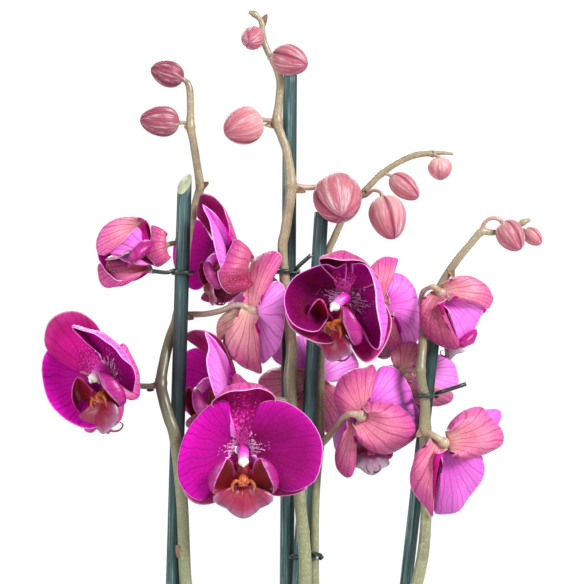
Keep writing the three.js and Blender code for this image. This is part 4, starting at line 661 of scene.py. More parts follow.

# %% [markdown]
# ## The drawing of the flowers
# A flower is drawn as its knob, which is the place behind the petals where the stalk ends, its lip, and
# its petals and sepals. The lip is the place of its foot, the azimuth, elevation and roll that it faces,
# and its size. Each petal or sepal is its kind, the side that the viewer sees, its claw, how far it bows
# forward in mm, how much painted shade darkens it at its first edge, in its middle and at its last edge
# (below zero, painted light and a paler tint brighten it), the points of its rim from the first edge to
# the last, and, where the rim turns over, the points of the fold.

# %% Flowers
BLOOMS = [
    ((108, 377, 8), (108, 380, 12, -42, -4, 12, 1), [
        ("sepal", "front", (102, 372, 8), 3, (-0.35, -0.2, -0.1),
         [(90, 371, 8), (64, 364, 4), (46, 348, 2), (46, 327, 2), (58, 314, 4), (76, 311, 7), (92, 319, 11),
          (102, 334, 13), (106, 356, 12)]),
        ("petal", "front", (98, 374, 10), -6, (0.1, -0.1, 0.1),
         [(112, 396, 13), (110, 416, 17), (91, 429, 18), (66, 420, 14), (48, 400, 9), (41.5, 372, 4),
          (46, 352, 2), (56, 347, 4), (70, 359, 7), (84, 367, 9)]),
        ("petal", "front", (110, 374, 10), -3, (0.4, 0.3, 0.3),
         [(100, 355, 16), (86, 341, 22), (72, 327.5, 27), (86, 331, 34), (100, 337, 38), (111, 345, 40),
          (121, 356, 40), (131, 367, 37), (135, 378, 32), (134, 392, 24)],
         [(101, 357, 14), (88, 340, 18), (75, 326, 22), (91, 330, 27), (104, 333.5, 30), (117, 344, 31),
          (127, 357, 31), (133.5, 369, 29), (136, 382, 25), (131, 392, 20)]),
        ("sepal", "back", (116, 378, 6), 3, (0, 0, 0),
         [(116, 352, 8), (121, 344, 9), (126, 345, 9), (133, 358, 8), (139, 372, 7), (140, 385, 6),
          (139, 397, 6), (130, 400, 8), (122, 392, 8)]),
        ("sepal", "back", (112, 386, 6), 3, (0.3, 0.3, 0.3),
         [(122, 394, 7), (124, 406, 7), (121, 420, 8), (110, 428.5, 10), (98, 429, 11), (91, 433, 11),
          (84, 429, 10), (88, 410, 6), (100, 394, 5)]),
    ]),
    ((162, 247, 1), (148, 263, 1, -70, 75, 0, 0.8), [
        ("sepal", "front", (157, 250, -3), -3, (0.3, 0.3, 0.3),
         [(152, 240, -5), (150, 228, -7), (146, 220, -8), (139, 221, -7), (135, 228, -4), (128, 242, -2),
          (134, 256, 0), (146, 262, 0)]),
        ("sepal", "back", (138, 226, -3), 5, (-0.3, -0.1, 0),
         [(137, 222, -2), (129, 218, 1), (116, 218.5, 4), (104, 226, 6), (97, 238, 7), (96, 248, 8),
          (99, 254, 8), (105, 255, 9), (111, 252, 9)]),
        ("petal", "back", (153, 259, 0), 2, (0, 0, 0),
         [(145, 248, 3), (141, 238, 4), (138, 227, 4), (124, 239, 5), (110, 252, 6), (120, 259, 8),
          (130, 263, 9), (141, 265, 8), (150, 264, 4)]),
        ("sepal", "back", (166, 247, 1), 5, (0.35, 0.45, 0.6),
         [(161, 233, 2), (151, 225, 3), (151, 236, 6), (147, 252, 9), (152, 262, 8), (158, 267, 5),
          (165, 260, 2)]),
        ("petal", "front", (150, 262, -6), -7, (0.3, 0.2, 0.2),
         [(122, 248, -8), (106, 248, -3), (97.5, 250, 1), (99, 259, 3), (104, 268, 5), (110, 275, 6),
          (118, 281, 6), (132, 277, -2)]),
        ("sepal", "back", (150, 268, -3), 3, (0, 0.2, 0.3),
         [(139, 277, -1), (126, 284, 2), (112, 287, 3), (103, 286, 3), (98, 276, 1), (99, 264, -3),
          (114, 266, -7), (132, 266, -7)]),
    ]),
    ((238, 264, -6), (222, 266, -4, -76, -6, 0, 0.75), [
        ("sepal", "front", (230, 256, -6), -4, (0.1, 0.1, 0.1),
         [(212, 236, -13), (203, 225, -11), (196, 213, -8), (198, 202, -6), (202, 193.5, -4), (212, 196, 1),
          (221, 205, 4), (227, 220, 5), (230, 240, 2)]),
        ("petal", "front", (218, 256, -10), -6, (0.3, 0.1, 0.3),
         [(212, 240, -16), (205, 227, -24), (196, 219, -28), (184, 224, -33), (175, 240, -35),
          (172, 256, -35), (176, 273, -35), (186, 286, -33), (197, 290, -28), (210, 280, -18)]),
        ("petal", "back", (229, 262, -3), 2, (0, 0, 0),
         [(230, 246, 3), (225, 230, 8), (217, 216, 11), (208, 208, 13), (203, 204.5, 13), (205, 210, 16),
          (210, 222, 20), (212, 232, 22), (216, 250, 21), (221, 268, 14)]),
        ("sepal", "back", (246, 270, -4), 7, (-0.1, 0.6, 2),
         [(243, 256, -1), (238, 245, 3), (234, 238.5, 5), (229, 249, 9), (221, 268, 14), (217, 273, 15),
          (222, 287, 13), (232, 294, 8), (243, 287, 1)]),
        ("sepal", "back", (240, 276, -9), 2, (0.5, 0.9, 0.9),
         [(246, 284, -6), (240, 293, -7), (228, 302, -9), (212, 303, -12), (201, 299, -15), (208, 290, -16),
          (226, 284, -12)]),
    ]),
    ((251.3, 311.2, 4), (250, 329, -9, 190, -8, 0, 0.75), [
        ("sepal", "back", (254, 310, 3), 4, (-0.2, -0.05, 0),
         [(249, 301, 1), (247, 282, -4), (250, 266, -8), (259, 255, -6), (270, 250, -2), (278, 252, 2),
          (281.5, 258, 3), (279, 268, 3.5), (272, 282, 2.5), (263, 298, 2)]),
        ("petal", "back", (257, 314, 4), 3, (-0.5, -0.5, -0.2),
         [(262, 305, 2), (268, 291, 0), (273, 282, -2), (280, 282, 0), (285, 289, 2), (285.5, 306, 3),
          (284, 326, 3), (280, 345, 2), (272, 356, 0), (262, 364, -2), (262, 348, 0), (262, 332, 3)]),
        ("sepal", "back", (250, 312, 6), 8, (-0.8, -0.2, 0.15),
         [(240, 314, 6), (231, 320, 4), (226, 331, 3), (226, 344, 2), (231, 356, 1), (241, 366, 0),
          (251, 370.5, -1), (261.5, 373.5, -2), (261, 362, 0), (262, 349, 2), (258, 334, 4),
          (254, 320, 5)]),
        ("sepal", "back", (245, 312, 2), 3, (-0.7, -0.9, -0.6),
         [(238, 309, 1), (228, 311, -2), (219, 319, -6), (216.5, 330, -10), (218, 339, -12),
          (222, 340, -12), (227, 330, -7), (236, 318, -1)]),
        ("petal", "back", (250, 309, 0), 2, (0, 0, 0),
         [(250, 300, -2), (247, 284, -7), (240, 287, -16), (231, 300, -22), (227, 309, -20),
          (240, 309, -6)]),
    ]),
    ((236, 392, -8), (216, 393, -9, -76, -6, 0, 1), [
        ("sepal", "front", (232, 382, -8), -2, (0.1, 0, -0.1),
         [(220, 362, -16), (208, 350, -18), (197, 346, -16), (187, 339, -12), (187, 333, -9),
          (196, 329, -5), (207, 331, -1), (218, 338, 2), (226, 348, 3), (230, 362, 1), (233, 374, -3)]),
        ("petal", "front", (222, 388, -12), -6, (0.1, -0.1, 0),
         [(215, 364, -18), (205, 351, -24), (194, 348, -29), (182, 356, -34), (175, 376, -36),
          (177, 397, -35), (186, 411, -31), (196, 418, -25), (206, 411, -18), (214, 399, -13)]),
        ("petal", "back", (229, 392, -5), 2, (-0.1, -0.3, 0),
         [(231, 376, 0), (227, 358, 4), (219, 345, 7), (211, 336, 9), (205, 332, 9), (208, 347, 13),
          (207, 360, 16), (209, 376, 18), (214, 395, 17), (222, 404, 10)]),
        ("sepal", "back", (240, 398, -6), 3, (0.1, 0.1, 0.1),
         [(232, 392, -2), (231, 386, 0), (236, 373, 3), (245, 380, 1), (253, 388, -2), (252, 398, -5)]),
        ("sepal", "back", (230, 398, -11), 2, (0.3, 0.3, 0.3),
         [(220, 402, -12), (206, 408, -15), (192, 416, -18), (186, 422, -20), (188, 428, -20),
          (200, 428, -18), (214, 422, -14), (228, 412, -11)]),
    ]),
    ((242, 450, 20), (243, 462, 26, 3, -6, 0, 1), [
        ("sepal", "front", (241, 446, 21), -3, (0.05, 0.1, 0.25),
         [(230, 436, 22), (222, 418, 26), (211, 403, 30), (227, 392, 36), (246, 391, 38), (262, 389, 37),
          (276, 400, 31), (260, 420, 25), (252, 436, 22)],
         [(232, 438, 21), (225, 420, 23), (217, 405, 26), (226, 388, 30), (245, 383, 31), (263, 387, 30),
          (271, 400, 27), (256, 420, 23), (249, 437, 21)]),
        ("petal", "front", (235, 447, 23), 3, (0.2, 0.15, 0.1),
         [(222, 458, 24), (211, 478, 27), (205, 499, 30), (191, 497, 30), (179, 482, 29), (177.5, 460, 28),
          (185, 434, 26), (199, 415, 26), (213, 403, 28), (228, 401, 30), (226, 418, 27), (228, 434, 24)]),
        ("petal", "front", (249, 447, 23), 3, (0.4, 0.8, 1.1),
         [(256, 429, 25), (257, 410, 29), (264, 401.5, 31), (283, 401, 30), (304, 413, 29), (318, 431, 28),
          (323, 451, 28), (317, 478, 30), (304, 488, 31), (290, 491.5, 31), (276, 486, 30), (266, 468, 27),
          (257, 454, 24)]),
        ("sepal", "front", (236, 453, 19), 2, (0.4, 0.3, 0.3),
         [(234, 464, 19), (229, 484, 20), (216, 502, 23), (195, 503.5, 24), (183, 488, 22), (196, 466, 19),
          (222, 452, 18)]),
        ("sepal", "front", (248, 453, 19), 2, (0.2, 0.4, 0.4),
         [(262, 452, 18), (290, 464, 19), (308, 480, 21), (303, 491.5, 24), (286, 496, 25), (268, 493, 23),
          (254, 474, 19)]),
    ]),
    ((346, 300, 12), (347, 308, 18, -44, -7, -14, 1), [
        ("sepal", "front", (346, 293, 13), -5, (0.25, 0.2, 0.1),
         [(334, 279, 22), (319, 262, 33), (326, 258, 36), (340, 260, 37), (355, 260, 36), (366, 264, 33),
          (375, 273, 28), (378, 281, 24), (364, 288, 16)],
         [(336, 280, 18), (321, 261, 26), (329, 254, 28), (342, 251.5, 28), (354, 255, 28), (364, 262, 26),
          (372, 272, 22), (373, 279, 18), (360, 289, 14)]),
        ("petal", "front", (340, 297, 14), -9, (1.8, 1, 0.5),
         [(330, 316, 18), (318, 331, 25), (301, 329, 31), (289, 319, 33), (284, 298, 33), (293, 279, 33),
          (308, 269, 33), (326, 264, 31), (337, 268, 29), (347, 264, 25), (346, 281, 19)]),
        ("petal", "front", (351, 300, 13), -6, (0.5, 0.3, 0.25),
         [(352, 264, 28), (363, 264, 33), (371, 275, 36), (375, 290, 38), (376, 303, 38), (379, 318, 38),
          (381, 334, 36), (377, 349, 32), (370, 344, 26), (360, 326, 19)],
         [(352, 268, 21), (366, 267, 25), (376, 277, 27), (381, 291, 28), (384, 305, 28), (386.5, 318, 28),
          (385, 334, 28), (380, 347, 26), (368, 341, 20), (357, 320, 16)]),
        ("sepal", "front", (352, 306, 11), -3, (0.1, 0, 0.1),
         [(366, 300, 12), (384, 305, 15), (391, 317, 18), (391, 330, 20), (385, 346, 22), (376, 358, 23),
          (366, 362.5, 24), (357, 356, 23), (350, 342, 19), (347, 324, 14)]),
        ("sepal", "front", (341, 308, 11), -3, (0.5, 0.4, 0.3),
         [(318, 306, 12), (300, 304, 14), (286, 309, 18), (289, 325, 22), (300, 335, 23), (316, 342, 24),
          (332, 343, 22), (343, 330, 16)]),
    ]),
    ((382, 308, -14), (384, 322, -31, 165, -20, 0, 0.7), [
        ("sepal", "back", (381, 302, -15), 3, (-0.1, 0, 0),
         [(373, 287, -18), (369, 272, -21), (374, 262, -23), (384, 256, -24), (392, 257, -24),
          (398, 259, -24), (393, 267, -23), (388, 278, -21), (384, 290, -18)]),
        ("petal", "back", (386, 307, -15), 4, (0.2, 0.05, 0.2),
         [(383, 291, -18), (387, 275, -22), (396, 272.5, -24), (407, 277, -26), (415, 289, -28),
          (420, 305, -30), (423, 321, -30), (421, 335, -28), (413, 346, -26), (404, 351, -24),
          (400, 335, -20), (393, 318, -17)]),
        ("sepal", "back", (384, 312, -15), 3, (0.2, 0.3, 0.3),
         [(394, 321, -17), (401, 337, -20), (405, 351, -23), (398, 353, -24), (388, 347, -24),
          (378, 340, -22), (374, 322, -18)]),
        ("petal", "back", (378, 309, -16), 3, (0, 0, 0),
         [(370, 300, -19), (354, 295, -24), (343, 305, -27), (344, 322, -28), (358, 331, -26),
          (371, 320, -20)]),
        ("sepal", "back", (380, 312, -16), 3, (0.1, 0.1, 0.1),
         [(374, 322, -19), (362, 332, -23), (358, 344, -26), (366, 352, -27), (378, 346, -25),
          (383, 330, -20)]),
    ]),
    ((361, 416, 13), (370, 437, -4, 190, -30, 0, 0.7), [
        ("sepal", "back", (362, 411, 9), 4, (0, 0.1, 0),
         [(352, 411, 4), (340, 414, 2), (335, 404, 1), (334, 392, 2), (340, 378, 0), (352, 369.5, -1),
          (364, 367.5, -1), (373, 364.5, -1), (376.5, 375, 0), (373, 390, 3), (366, 403, 6)]),
        ("petal", "back", (365, 412, 7), 4, (0.5, 0.3, 0.1),
         [(371, 393, 2), (376, 372, -3), (384, 366, -5), (394, 367.5, -7), (403, 376, -8), (410, 388, -8),
          (415, 402, -10), (421, 418, -10), (419, 429, -9), (408, 428, -2), (390, 422, 2)]),
        ("sepal", "back", (360, 417, 10), 9, (-0.15, 0.1, 0),
         [(362, 407, 9), (372, 402, 8), (388, 402, 7), (402, 408, 6), (412.5, 418, 4), (418.5, 429, 2.5),
          (416.5, 437, 2), (404, 447, 0), (390, 453.5, -1), (376, 453, 1), (363, 446, 4), (354, 433, 7),
          (352, 422, 9)]),
        ("sepal", "back", (353, 424, 8), 4, (0, 0.1, 0.4),
         [(348, 428, 7), (340, 440, 5), (335, 454, 3), (337, 469, 1), (346, 477.5, 0), (353, 474, 0),
          (356, 460, 2), (354, 444, 5), (352, 433, 7)]),
        ("petal", "back", (357, 416, 4), 2, (0.1, 0.2, 0.1),
         [(350, 408, -6), (340, 413, -14), (333.5, 430, -20), (334, 446, -22), (341, 452, -18),
          (350, 438, -8)]),
    ]),
    ((313, 379, -22), (306, 392, -32, 182, -10, 2, 0.9), [
        ("petal", "back", (309, 374, -23), 3, (0, 0, 0),
         [(300, 370, -25), (284, 367, -28), (273, 359, -31), (271, 346, -34), (282, 338, -36),
          (296, 335, -36), (308, 338, -34), (311, 354, -29)]),
        ("sepal", "back", (309, 379, -22), 5, (-0.35, -0.2, -0.2),
         [(302, 369, -24), (286, 366, -27), (268, 370, -30), (258, 381, -31), (265, 391, -30),
          (278, 401, -28), (292, 402, -26), (303, 392, -24)]),
        ("petal", "back", (317, 377, -22), 4, (-0.2, -0.4, -0.3),
         [(316, 362, -25), (318, 346, -29), (330, 338, -32), (344, 342, -34), (354, 353, -34),
          (359, 366, -33), (352, 373, -31), (343, 380, -28), (330, 382, -24)]),
        ("sepal", "back", (317, 383, -22), 4, (-0.2, -0.1, -0.1),
         [(328, 383, -23), (338, 389, -25), (341, 403, -27), (338, 420, -29), (331, 432.5, -30),
          (322, 430, -29), (314, 416, -27), (312, 398, -24)]),
        ("sepal", "back", (311, 384, -24), 3, (-0.1, -0.1, -0.1),
         [(301, 394, -27), (292, 406, -30), (293, 420, -32), (303, 425, -32), (311, 411, -29),
          (315, 396, -26)]),
    ]),
    ((402, 372, -12), (410, 384, -29, 170, -20, 0, 0.75), [
        ("sepal", "back", (402, 369, -13), 3, (-0.35, -0.25, -0.2),
         [(396, 366, -14), (391, 359, -15), (393, 350, -16), (402, 344, -17), (412, 341, -17),
          (420, 347, -17), (421, 359, -16), (411, 367, -14)]),
        ("petal", "back", (406, 373, -13), 4, (-0.3, -0.2, -0.1),
         [(412, 363, -16), (428, 357, -20), (442, 354.5, -23), (453, 362, -24), (458, 376, -24),
          (457, 387, -22), (445, 393, -19), (425, 392, -16), (411, 384, -14)]),
        ("sepal", "back", (404, 376, -12), 4, (-0.4, -0.2, 0),
         [(414, 378, -12), (430, 386, -14), (450, 390.5, -16), (453.5, 397, -17), (448, 403.5, -18),
          (436, 406.5, -18), (422, 405, -18), (411, 399, -17), (404, 388, -14)]),
        ("petal", "back", (398, 373, -15), 3, (-0.3, -0.3, -0.3),
         [(393, 365, -18), (380, 368, -24), (373, 382, -28), (380, 398, -29), (394, 401, -26),
          (401, 388, -19)]),
        ("sepal", "back", (401, 377, -14), 3, (-0.5, -0.4, 0),
         [(395, 384, -18), (386, 398, -24), (386, 412, -27), (396, 418, -27), (406, 408, -22),
          (406, 390, -16)]),
    ]),
    ((441, 293, 2), (457, 326, -4, 108, -32, 0, 0.64), [
        ("sepal", "back", (444, 293, 3), 7, (-0.1, -0.15, -0.1),
         [(446, 286, 3), (455, 279, 2), (466, 276.5, 0), (478, 279.5, -2), (488, 287, -3), (493, 298, -3),
          (491, 305, -1), (487.5, 309, 0), (478, 306, 4), (462, 302, 6), (450, 297, 5)]),
        ("sepal", "back", (440, 295, 3), 8, (0.35, 0.7, 0.3),
         [(432, 296.5, 2), (424, 304, 0), (421, 316, -1), (422, 329, -1), (428, 338, 0), (440, 346, 2),
          (452, 350, 3), (460, 349, 4), (461, 345, 5), (455, 335, 7), (448, 318, 8), (441, 302, 6)]),
        ("petal", "back", (443, 297, 3), 4, (0.35, 0.25, 0.2),
         [(452, 299, 4), (466, 303, 3), (482, 308, 0), (480, 318, -1), (475, 328, -1), (470, 335, 0),
          (459, 341.5, 3), (455, 332, 6), (448, 314, 7)]),
        ("petal", "front", (447, 299, -2), -4, (0, 0, 0),
         [(468, 299, -10), (482, 304, -8), (487, 310, -6), (481, 316, -6), (474, 328, -9),
          (460, 324, -14)]),
        ("sepal", "front", (443, 297, -2), -3, (0.2, 0.2, 0.2),
         [(452, 306, -10), (459, 322, -14), (461, 338, -10), (454, 341, -9), (447, 334, -9),
          (445, 315, -8)]),
    ]),
    ((444, 443, 14), (444, 462, -6, 170, -12, 0, 0.9), [
        ("sepal", "back", (447, 441, 12), 8, (0, -0.1, 0),
         [(446, 430, 11), (451, 421, 9), (463, 411, 6), (478, 406.5, 3), (486, 410, 2), (492, 419, 1),
          (500, 427, 0), (504, 436, 0), (502, 444, 1), (495, 449.5, 2), (480, 456, 5), (462, 461, 8),
          (450, 455, 11)]),
        ("sepal", "back", (440, 443, 13), 7, (0.1, 0.05, -0.2),
         [(430, 445, 16), (417, 452, 14), (413, 463, 13), (410, 474, 12), (411, 487, 11), (420, 501, 10),
          (427, 509, 10), (433, 516.5, 10), (433, 500, 13), (433.5, 480, 15), (433, 462, 17),
          (436, 450, 17)]),
        ("petal", "back", (447, 449, 9), 5, (0.55, 0.35, 0.5),
         [(460, 459, 6), (481, 456, 2), (483, 462, 1), (484.5, 468, 0), (482, 480, -2), (475, 490, -3),
          (467, 500, -4), (459, 511, -4), (446, 514.5, -3), (434, 512, -1), (436, 490, 3), (441, 466, 6)]),
        ("petal", "back", (451, 440, 8), 2, (0.3, 0.2, 0.2),
         [(458, 428, 2), (474, 414, -3), (490, 409, -6), (501, 410.5, -7), (500, 421, -7), (488, 440, -4),
          (466, 447, 3)]),
        ("sepal", "front", (443, 450, 6), -3, (0.4, 0.4, 0.4),
         [(434, 458, 3), (432, 480, -2), (432, 500, -5), (436, 511, -6), (447, 500, -7), (450, 474, -3),
          (448, 458, 2)]),
    ]),
]

# %% [markdown]
# ## The drawing of the stems
# A stem is its name, its line with a radius in mm at every point, its stalks and its scales. A stalk is
# what it carries, its radius and the line that it takes there. A scale is its foot and its tip.

# %% Stems
SPIKES = [
    ("flower_spike_a",
     [(221, 786, 0, 3.8), (212, 700, 1, 3.7), (196, 630, 2, 3.6), (186, 584, 4, 3.4), (182, 500, 8, 3.3),
      (175.5, 440, 11, 3.3), (169, 418, 10, 3.2), (164, 400, 8, 3.2), (161, 383, 3, 3.1),
      (164.5, 360, -2, 2.9), (170, 338, -7, 2.8), (178, 315, -11, 2.7), (184, 280, -11, 2.6),
      (187, 240, -12, 2.5), (193, 215, -13, 2.4), (198, 196, -13, 2.5), (200, 186, -12, 2.6),
      (197, 165, -10, 2.2), (193, 140, -8, 2.2), (190.5, 127, -8, 2.5), (190.5, 110, -8, 2),
      (190, 92, -8, 2), (188, 84, -8, 1.7), (185, 80.5, -8, 1.4), (181, 78, -7, 1.26)],
     [
         ("bloom_1", 1.7, [(161, 384, 3), (150, 386, 2), (139, 385.5, 1), (124, 382, 2)]),
         ("bloom_2", 1.6, [(187, 250, -11), (178, 244, -9), (171, 243.5, -5)]),
         ("bloom_4", 1.7, [(179, 316, -11), (190, 314.5, -10), (205, 314, -6), (220, 311, 0), (233, 306, 4),
           (243, 306, 6)]),
         ("bud_2", 1.1, [(190, 127, -8), (185, 123, -8)]),
     ],
     [((152, 387, 1), (147, 391, 1)), ((186, 316, -9), (194, 319, -7)), ((201, 187, -11), (209, 182, -10)),
      ((181, 556, 8), (176, 545, 9)), ((189, 127, -7), (184, 127, -6))]),
    ("flower_spike_b",
     [(239, 786, 0, 3.8), (258, 715, 1, 3.7), (288, 640, 3, 3.6), (305, 584, 5, 3.6), (300, 500, 3, 3.3),
      (294, 440, 0, 3.2), (290, 380, -3, 3.2), (291.5, 345, -4, 3), (286.5, 300, -4, 2.9),
      (282.5, 250, -4, 2.8), (285.5, 230, -4, 2.8), (290, 200, -4, 2.8), (291, 184, -4, 3),
      (287, 153, -4, 2.4), (281, 135, -4, 2.4), (277, 122, -4, 2.8), (279, 100, -4, 2.1),
      (280, 80, -4, 2.2), (274, 62, -4, 2), (268, 52, -4, 1.8), (263, 38, -4, 1.7), (262, 24, -4, 1.6),
      (259, 18.5, -4, 1.4), (254, 14, -4, 1.9), (249, 12, -4, 0.9)],
     [
         ("bloom_3", 1.6, [(281, 289, -4), (274, 281, -10), (262, 269, -18), (251, 259, -16),
           (243, 256, -11)]),
         ("bloom_5", 1.6, [(288, 402, -2), (280, 400, 0), (262, 397, 0), (249, 394, -4)]),
         ("bloom_6", 1.7, [(292.5, 419, -1), (281, 425, 6), (266, 437, 11), (253, 445, 16)]),
         ("bud_3", 1.3, [(270, 58, -4), (272, 57, -1)]),
         ("bud_4", 1.2, [(262, 37, -4), (259.5, 36, -2)]),
         ("bud_5", 1.3, [(277, 121, -4), (268, 120.5, -4)]),
         ("bud_6", 1.6, [(292, 186, -4), (304, 187.5, -7), (318, 187, -10), (327, 184, -11)]),
     ],
     [((262, 24, -4), (267, 14, -3)), ((276, 125, -4), (264, 125, -2)), ((296, 189, -4), (306, 192, -3)),
      ((303, 610, 5), (311, 598, 8))]),
    ("flower_spike_c",
     [(323, 786, 0, 3.2), (319, 700, -5, 3), (314.5, 584, -9, 2.7), (315, 500, -11, 2.6),
      (319.5, 440, -13, 2.6), (320.5, 380, -15, 2.1), (322, 350, -15, 2), (325, 300, -15, 1.9),
      (328, 255, -15, 2), (334, 238, -15, 2), (345, 215, -15, 1.9), (357, 199, -15, 1.9),
      (370, 185, -14, 1.9), (381, 174, -14, 1.8), (397, 163, -13, 1.7), (414, 155.5, -12, 1.8),
      (430, 153.5, -11, 1.5), (442, 153, -11, 1), (453, 154, -11, 0.7)],
     [
         ("bloom_7", 1.6, [(325, 303, -15), (331, 302, -11), (338, 300.5, -2)]),
         ("bloom_8", 1.5, [(324, 326, -15), (333, 325, -10), (352, 317, -7), (370, 311, -9)]),
         ("bloom_9", 1.8, [(320, 445, -12), (328, 437, -3), (336, 427, 4), (344, 417, 9), (352, 414, 13)]),
         ("bloom_10", 1.4, [(320.5, 386, -15), (319, 383.5, -17)]),
         ("bud_7", 1, [(431, 154, -11), (436, 155.5, -8)]),
         ("bud_8", 0.9, [(384, 173, -14), (389, 175, -13)]),
         ("bud_9", 1, [(361, 197, -14), (367, 195, -11), (373, 190.5, -9), (380, 192, -8)]),
     ],
     [((430, 153, -10), (434, 157, -8)), ((363, 196, -14), (366, 190, -12))]),
    ("flower_spike_d",
     [(341, 786, 0, 3.4), (354, 715, 9, 3.4), (386, 650, 10, 3.4), (411, 600, 9, 3.4), (422, 560, 8, 3.3),
      (426, 516, 6, 3.1), (426, 470, 5, 3), (425, 430, 6, 3.2), (425, 400, 8, 2.8), (422, 385, 9, 2.7),
      (420.5, 370, 9, 2.7), (422, 352, 6, 2.5), (423, 338, 0, 2.4), (423.5, 325, -6, 2.4),
      (424, 312, -9, 2.4), (431, 298, -10, 2.3), (440, 286, -10, 2.3), (450, 270, -8, 2.3),
      (460, 256, -6, 2.2), (471, 243, -4, 2.1), (481, 232, -3, 2.2), (491, 232.5, -4, 1.7),
      (503, 232, -9.5, 1.4), (514, 227, -12, 1.2), (522, 223, -12, 1.9), (530, 219.5, -12, 1)],
     [
         ("bloom_11", 1.6, [(419, 371, 8), (414, 370, 4), (408, 370, -4)]),
         ("bloom_12", 1.5, [(424, 312, -9), (421, 303, -4), (422.5, 293, 2), (427, 288.5, 4),
           (434, 287, 6)]),
         ("bloom_13", 1.8, [(424, 433, 7), (429, 433.5, 11), (436, 437, 15)]),
         ("bud_10", 1.1, [(482, 231, -3), (485, 222, -1), (492, 218, 0), (499, 219.5, 0)]),
         ("bud_11", 0.7, [(514, 227, -12), (521, 229, -12)]),
     ],
     [((450, 268, -7), (454, 278, -5)), ((422, 431, 8), (416, 437, 11)), ((419, 371, 10), (414, 377, 11)),
      ((425, 309, -8), (419, 307, -6))]),
]

# %% [markdown]
# ## Buds, stakes, ties, crowns and leaves
# A bud has a foot, a tip, a width in mm and the turn of its seams in degrees. A stake has the middle
# of its top, a lower place, its radius and the slant of its cut. A tie has the place and radius of the
# stem and of the stake that it binds, and the places of its free end. A crown has its axis and the
# headings of its roots. A leaf has its crown, heading, length, width, foot, rise and drop.

# %% Other pieces
BUDS = [
    ((183.5, 79, -8), (151, 68, -6), 15.5, 20),
    ((179.5, 122.5, -8), (140, 119.5, -5), 18.5, 35),
    ((273, 56, 2), (307, 65, 10), 18.5, 10),
    ((256, 34, -1), (249, 43, 13), 13.6, 30),
    ((261, 119.5, -4), (225, 133, 4), 22.5, 15),
    ((334, 182, -8), (342, 217, 14), 28.5, 60),
    ((439, 157.5, -6), (441, 180, -9), 14.2, 60),
    ((391, 176, -12), (418, 198, -8), 14, 25),
    ((382, 196, -8), (394, 239, -4), 22, 40),
    ((502, 222, -1), (520, 250, 2), 16.5, 30),
    ((525, 229.5, -12), (541, 244, -10), 10, 30),
]
STAKES = [
    ("stake_a", (184.5, 184, 0), (173, 584, 0), 4, 10),
    ("stake_b", (290, 70, -14), (287, 584, -14), 4, 0),
    ("stake_c", (321.5, 212, -12), (299, 584, -6), 4, 0),
    ("stake_d", (435, 326, -5), (406, 584, -2), 3.5, 0),
]
TIES = [
    ("tie_a", (184.5, 272, -11.5, 2.6), (182.1, 272, 0, 4), [(167, 272.5, 5), (152, 271, 6)]),
    ("tie_b", (283.5, 272, -4, 2.9), (288.8, 272, -14, 4), [(297, 268, -3), (311, 255, 0)]),
    ("tie_c", (424.2, 396, 8, 2.9), (427.4, 396, -4.2, 3.5), [(441, 392, 8), (466, 384, 10)]),
    ("tie_d", (313.6, 556, -9.5, 2.8), (300.7, 556, -6.5, 4), [(312, 553, -2), (317, 558, 2)]),
]
CROWNS = [
    ("plant_crown_a", -22, 0, (100, 200, 300)),
    ("plant_crown_b", 34, 0, (80, 250, 330)),
]
LEAVES = [
    (0, 215, 165, 62, 128, 62, 30),
    (0, 150, 150, 58, 126, 74, 22),
    (0, 273, 150, 60, 126, 56, 40),
    (0, 96, 170, 60, 128, 66, 36),
    (1, 302, 165, 64, 128, 60, 34),
    (1, 90, 150, 58, 127, 64, 28),
    (1, 36, 160, 60, 125, 58, 44),
]
CARRIED = {f"bloom_{k}": hub for k, (hub, _, _) in enumerate(BLOOMS, 1)}
CARRIED.update({f"bud_{k}": bud[0] for k, bud in enumerate(BUDS, 1)})
print("flowers:", len(BLOOMS), "buds:", len(BUDS), "stems:", len(SPIKES))

# %% [markdown]
# ## Which way a flower faces
# The lip and column are shaped once, in millimetres right, up and forward of the lip's foot, and set
# into every flower by the azimuth, elevation and roll that it faces.

# %% Flower axes
def lip_axes(lip):
    a, e, r = (math.radians(angle) for angle in lip[3:6])
    forward = Vector((math.sin(a) * math.cos(e), -math.cos(a) * math.cos(e), math.sin(e)))
    level = bearing(a)
    upright = forward.cross(level)
    return level * math.cos(r) + upright * math.sin(r), upright * math.cos(r) - level * math.sin(r), forward


def lip_frame(lip):
    foot = place(lip)
    right, up, forward = lip_axes(lip)
    size = lip[6] * MM

    def set_in(spots, flip=1):
        # flip is -1 for the left twin of a piece on the right
        return [foot + (right * (flip * x) + up * y + forward * z) * size for x, y, z in spots]
    return set_in

# %% [markdown]
# ## Flowers
# Three sepals and two petals stand round a small knob, where the flower's stalk ends. From the knob
# the column arches forward, with the ivory cap on its tip. Every sheet is fine enough to ripple.

# %% Petals and sepals
PETAL_ACROSS = 30
PETAL_ALONG = 22
PETAL_THICK = 0.8 * MM
PETAL_RIPPLE = 1.1 * MM
CLAW_BREADTH = {"petal": 9 * MM, "sepal": 11 * MM}
FLOWER_FINISHES = [PETAL_FRONT, PETAL_BACK, SEPAL_FRONT, SEPAL_BACK, STALK_SKIN, COLUMN_SKIN, ANTHER_CAP]
STALK, COLUMN, CAP = 4, 5, 6
SIDES = {"petal": (0, 1), "sepal": (2, 3)}


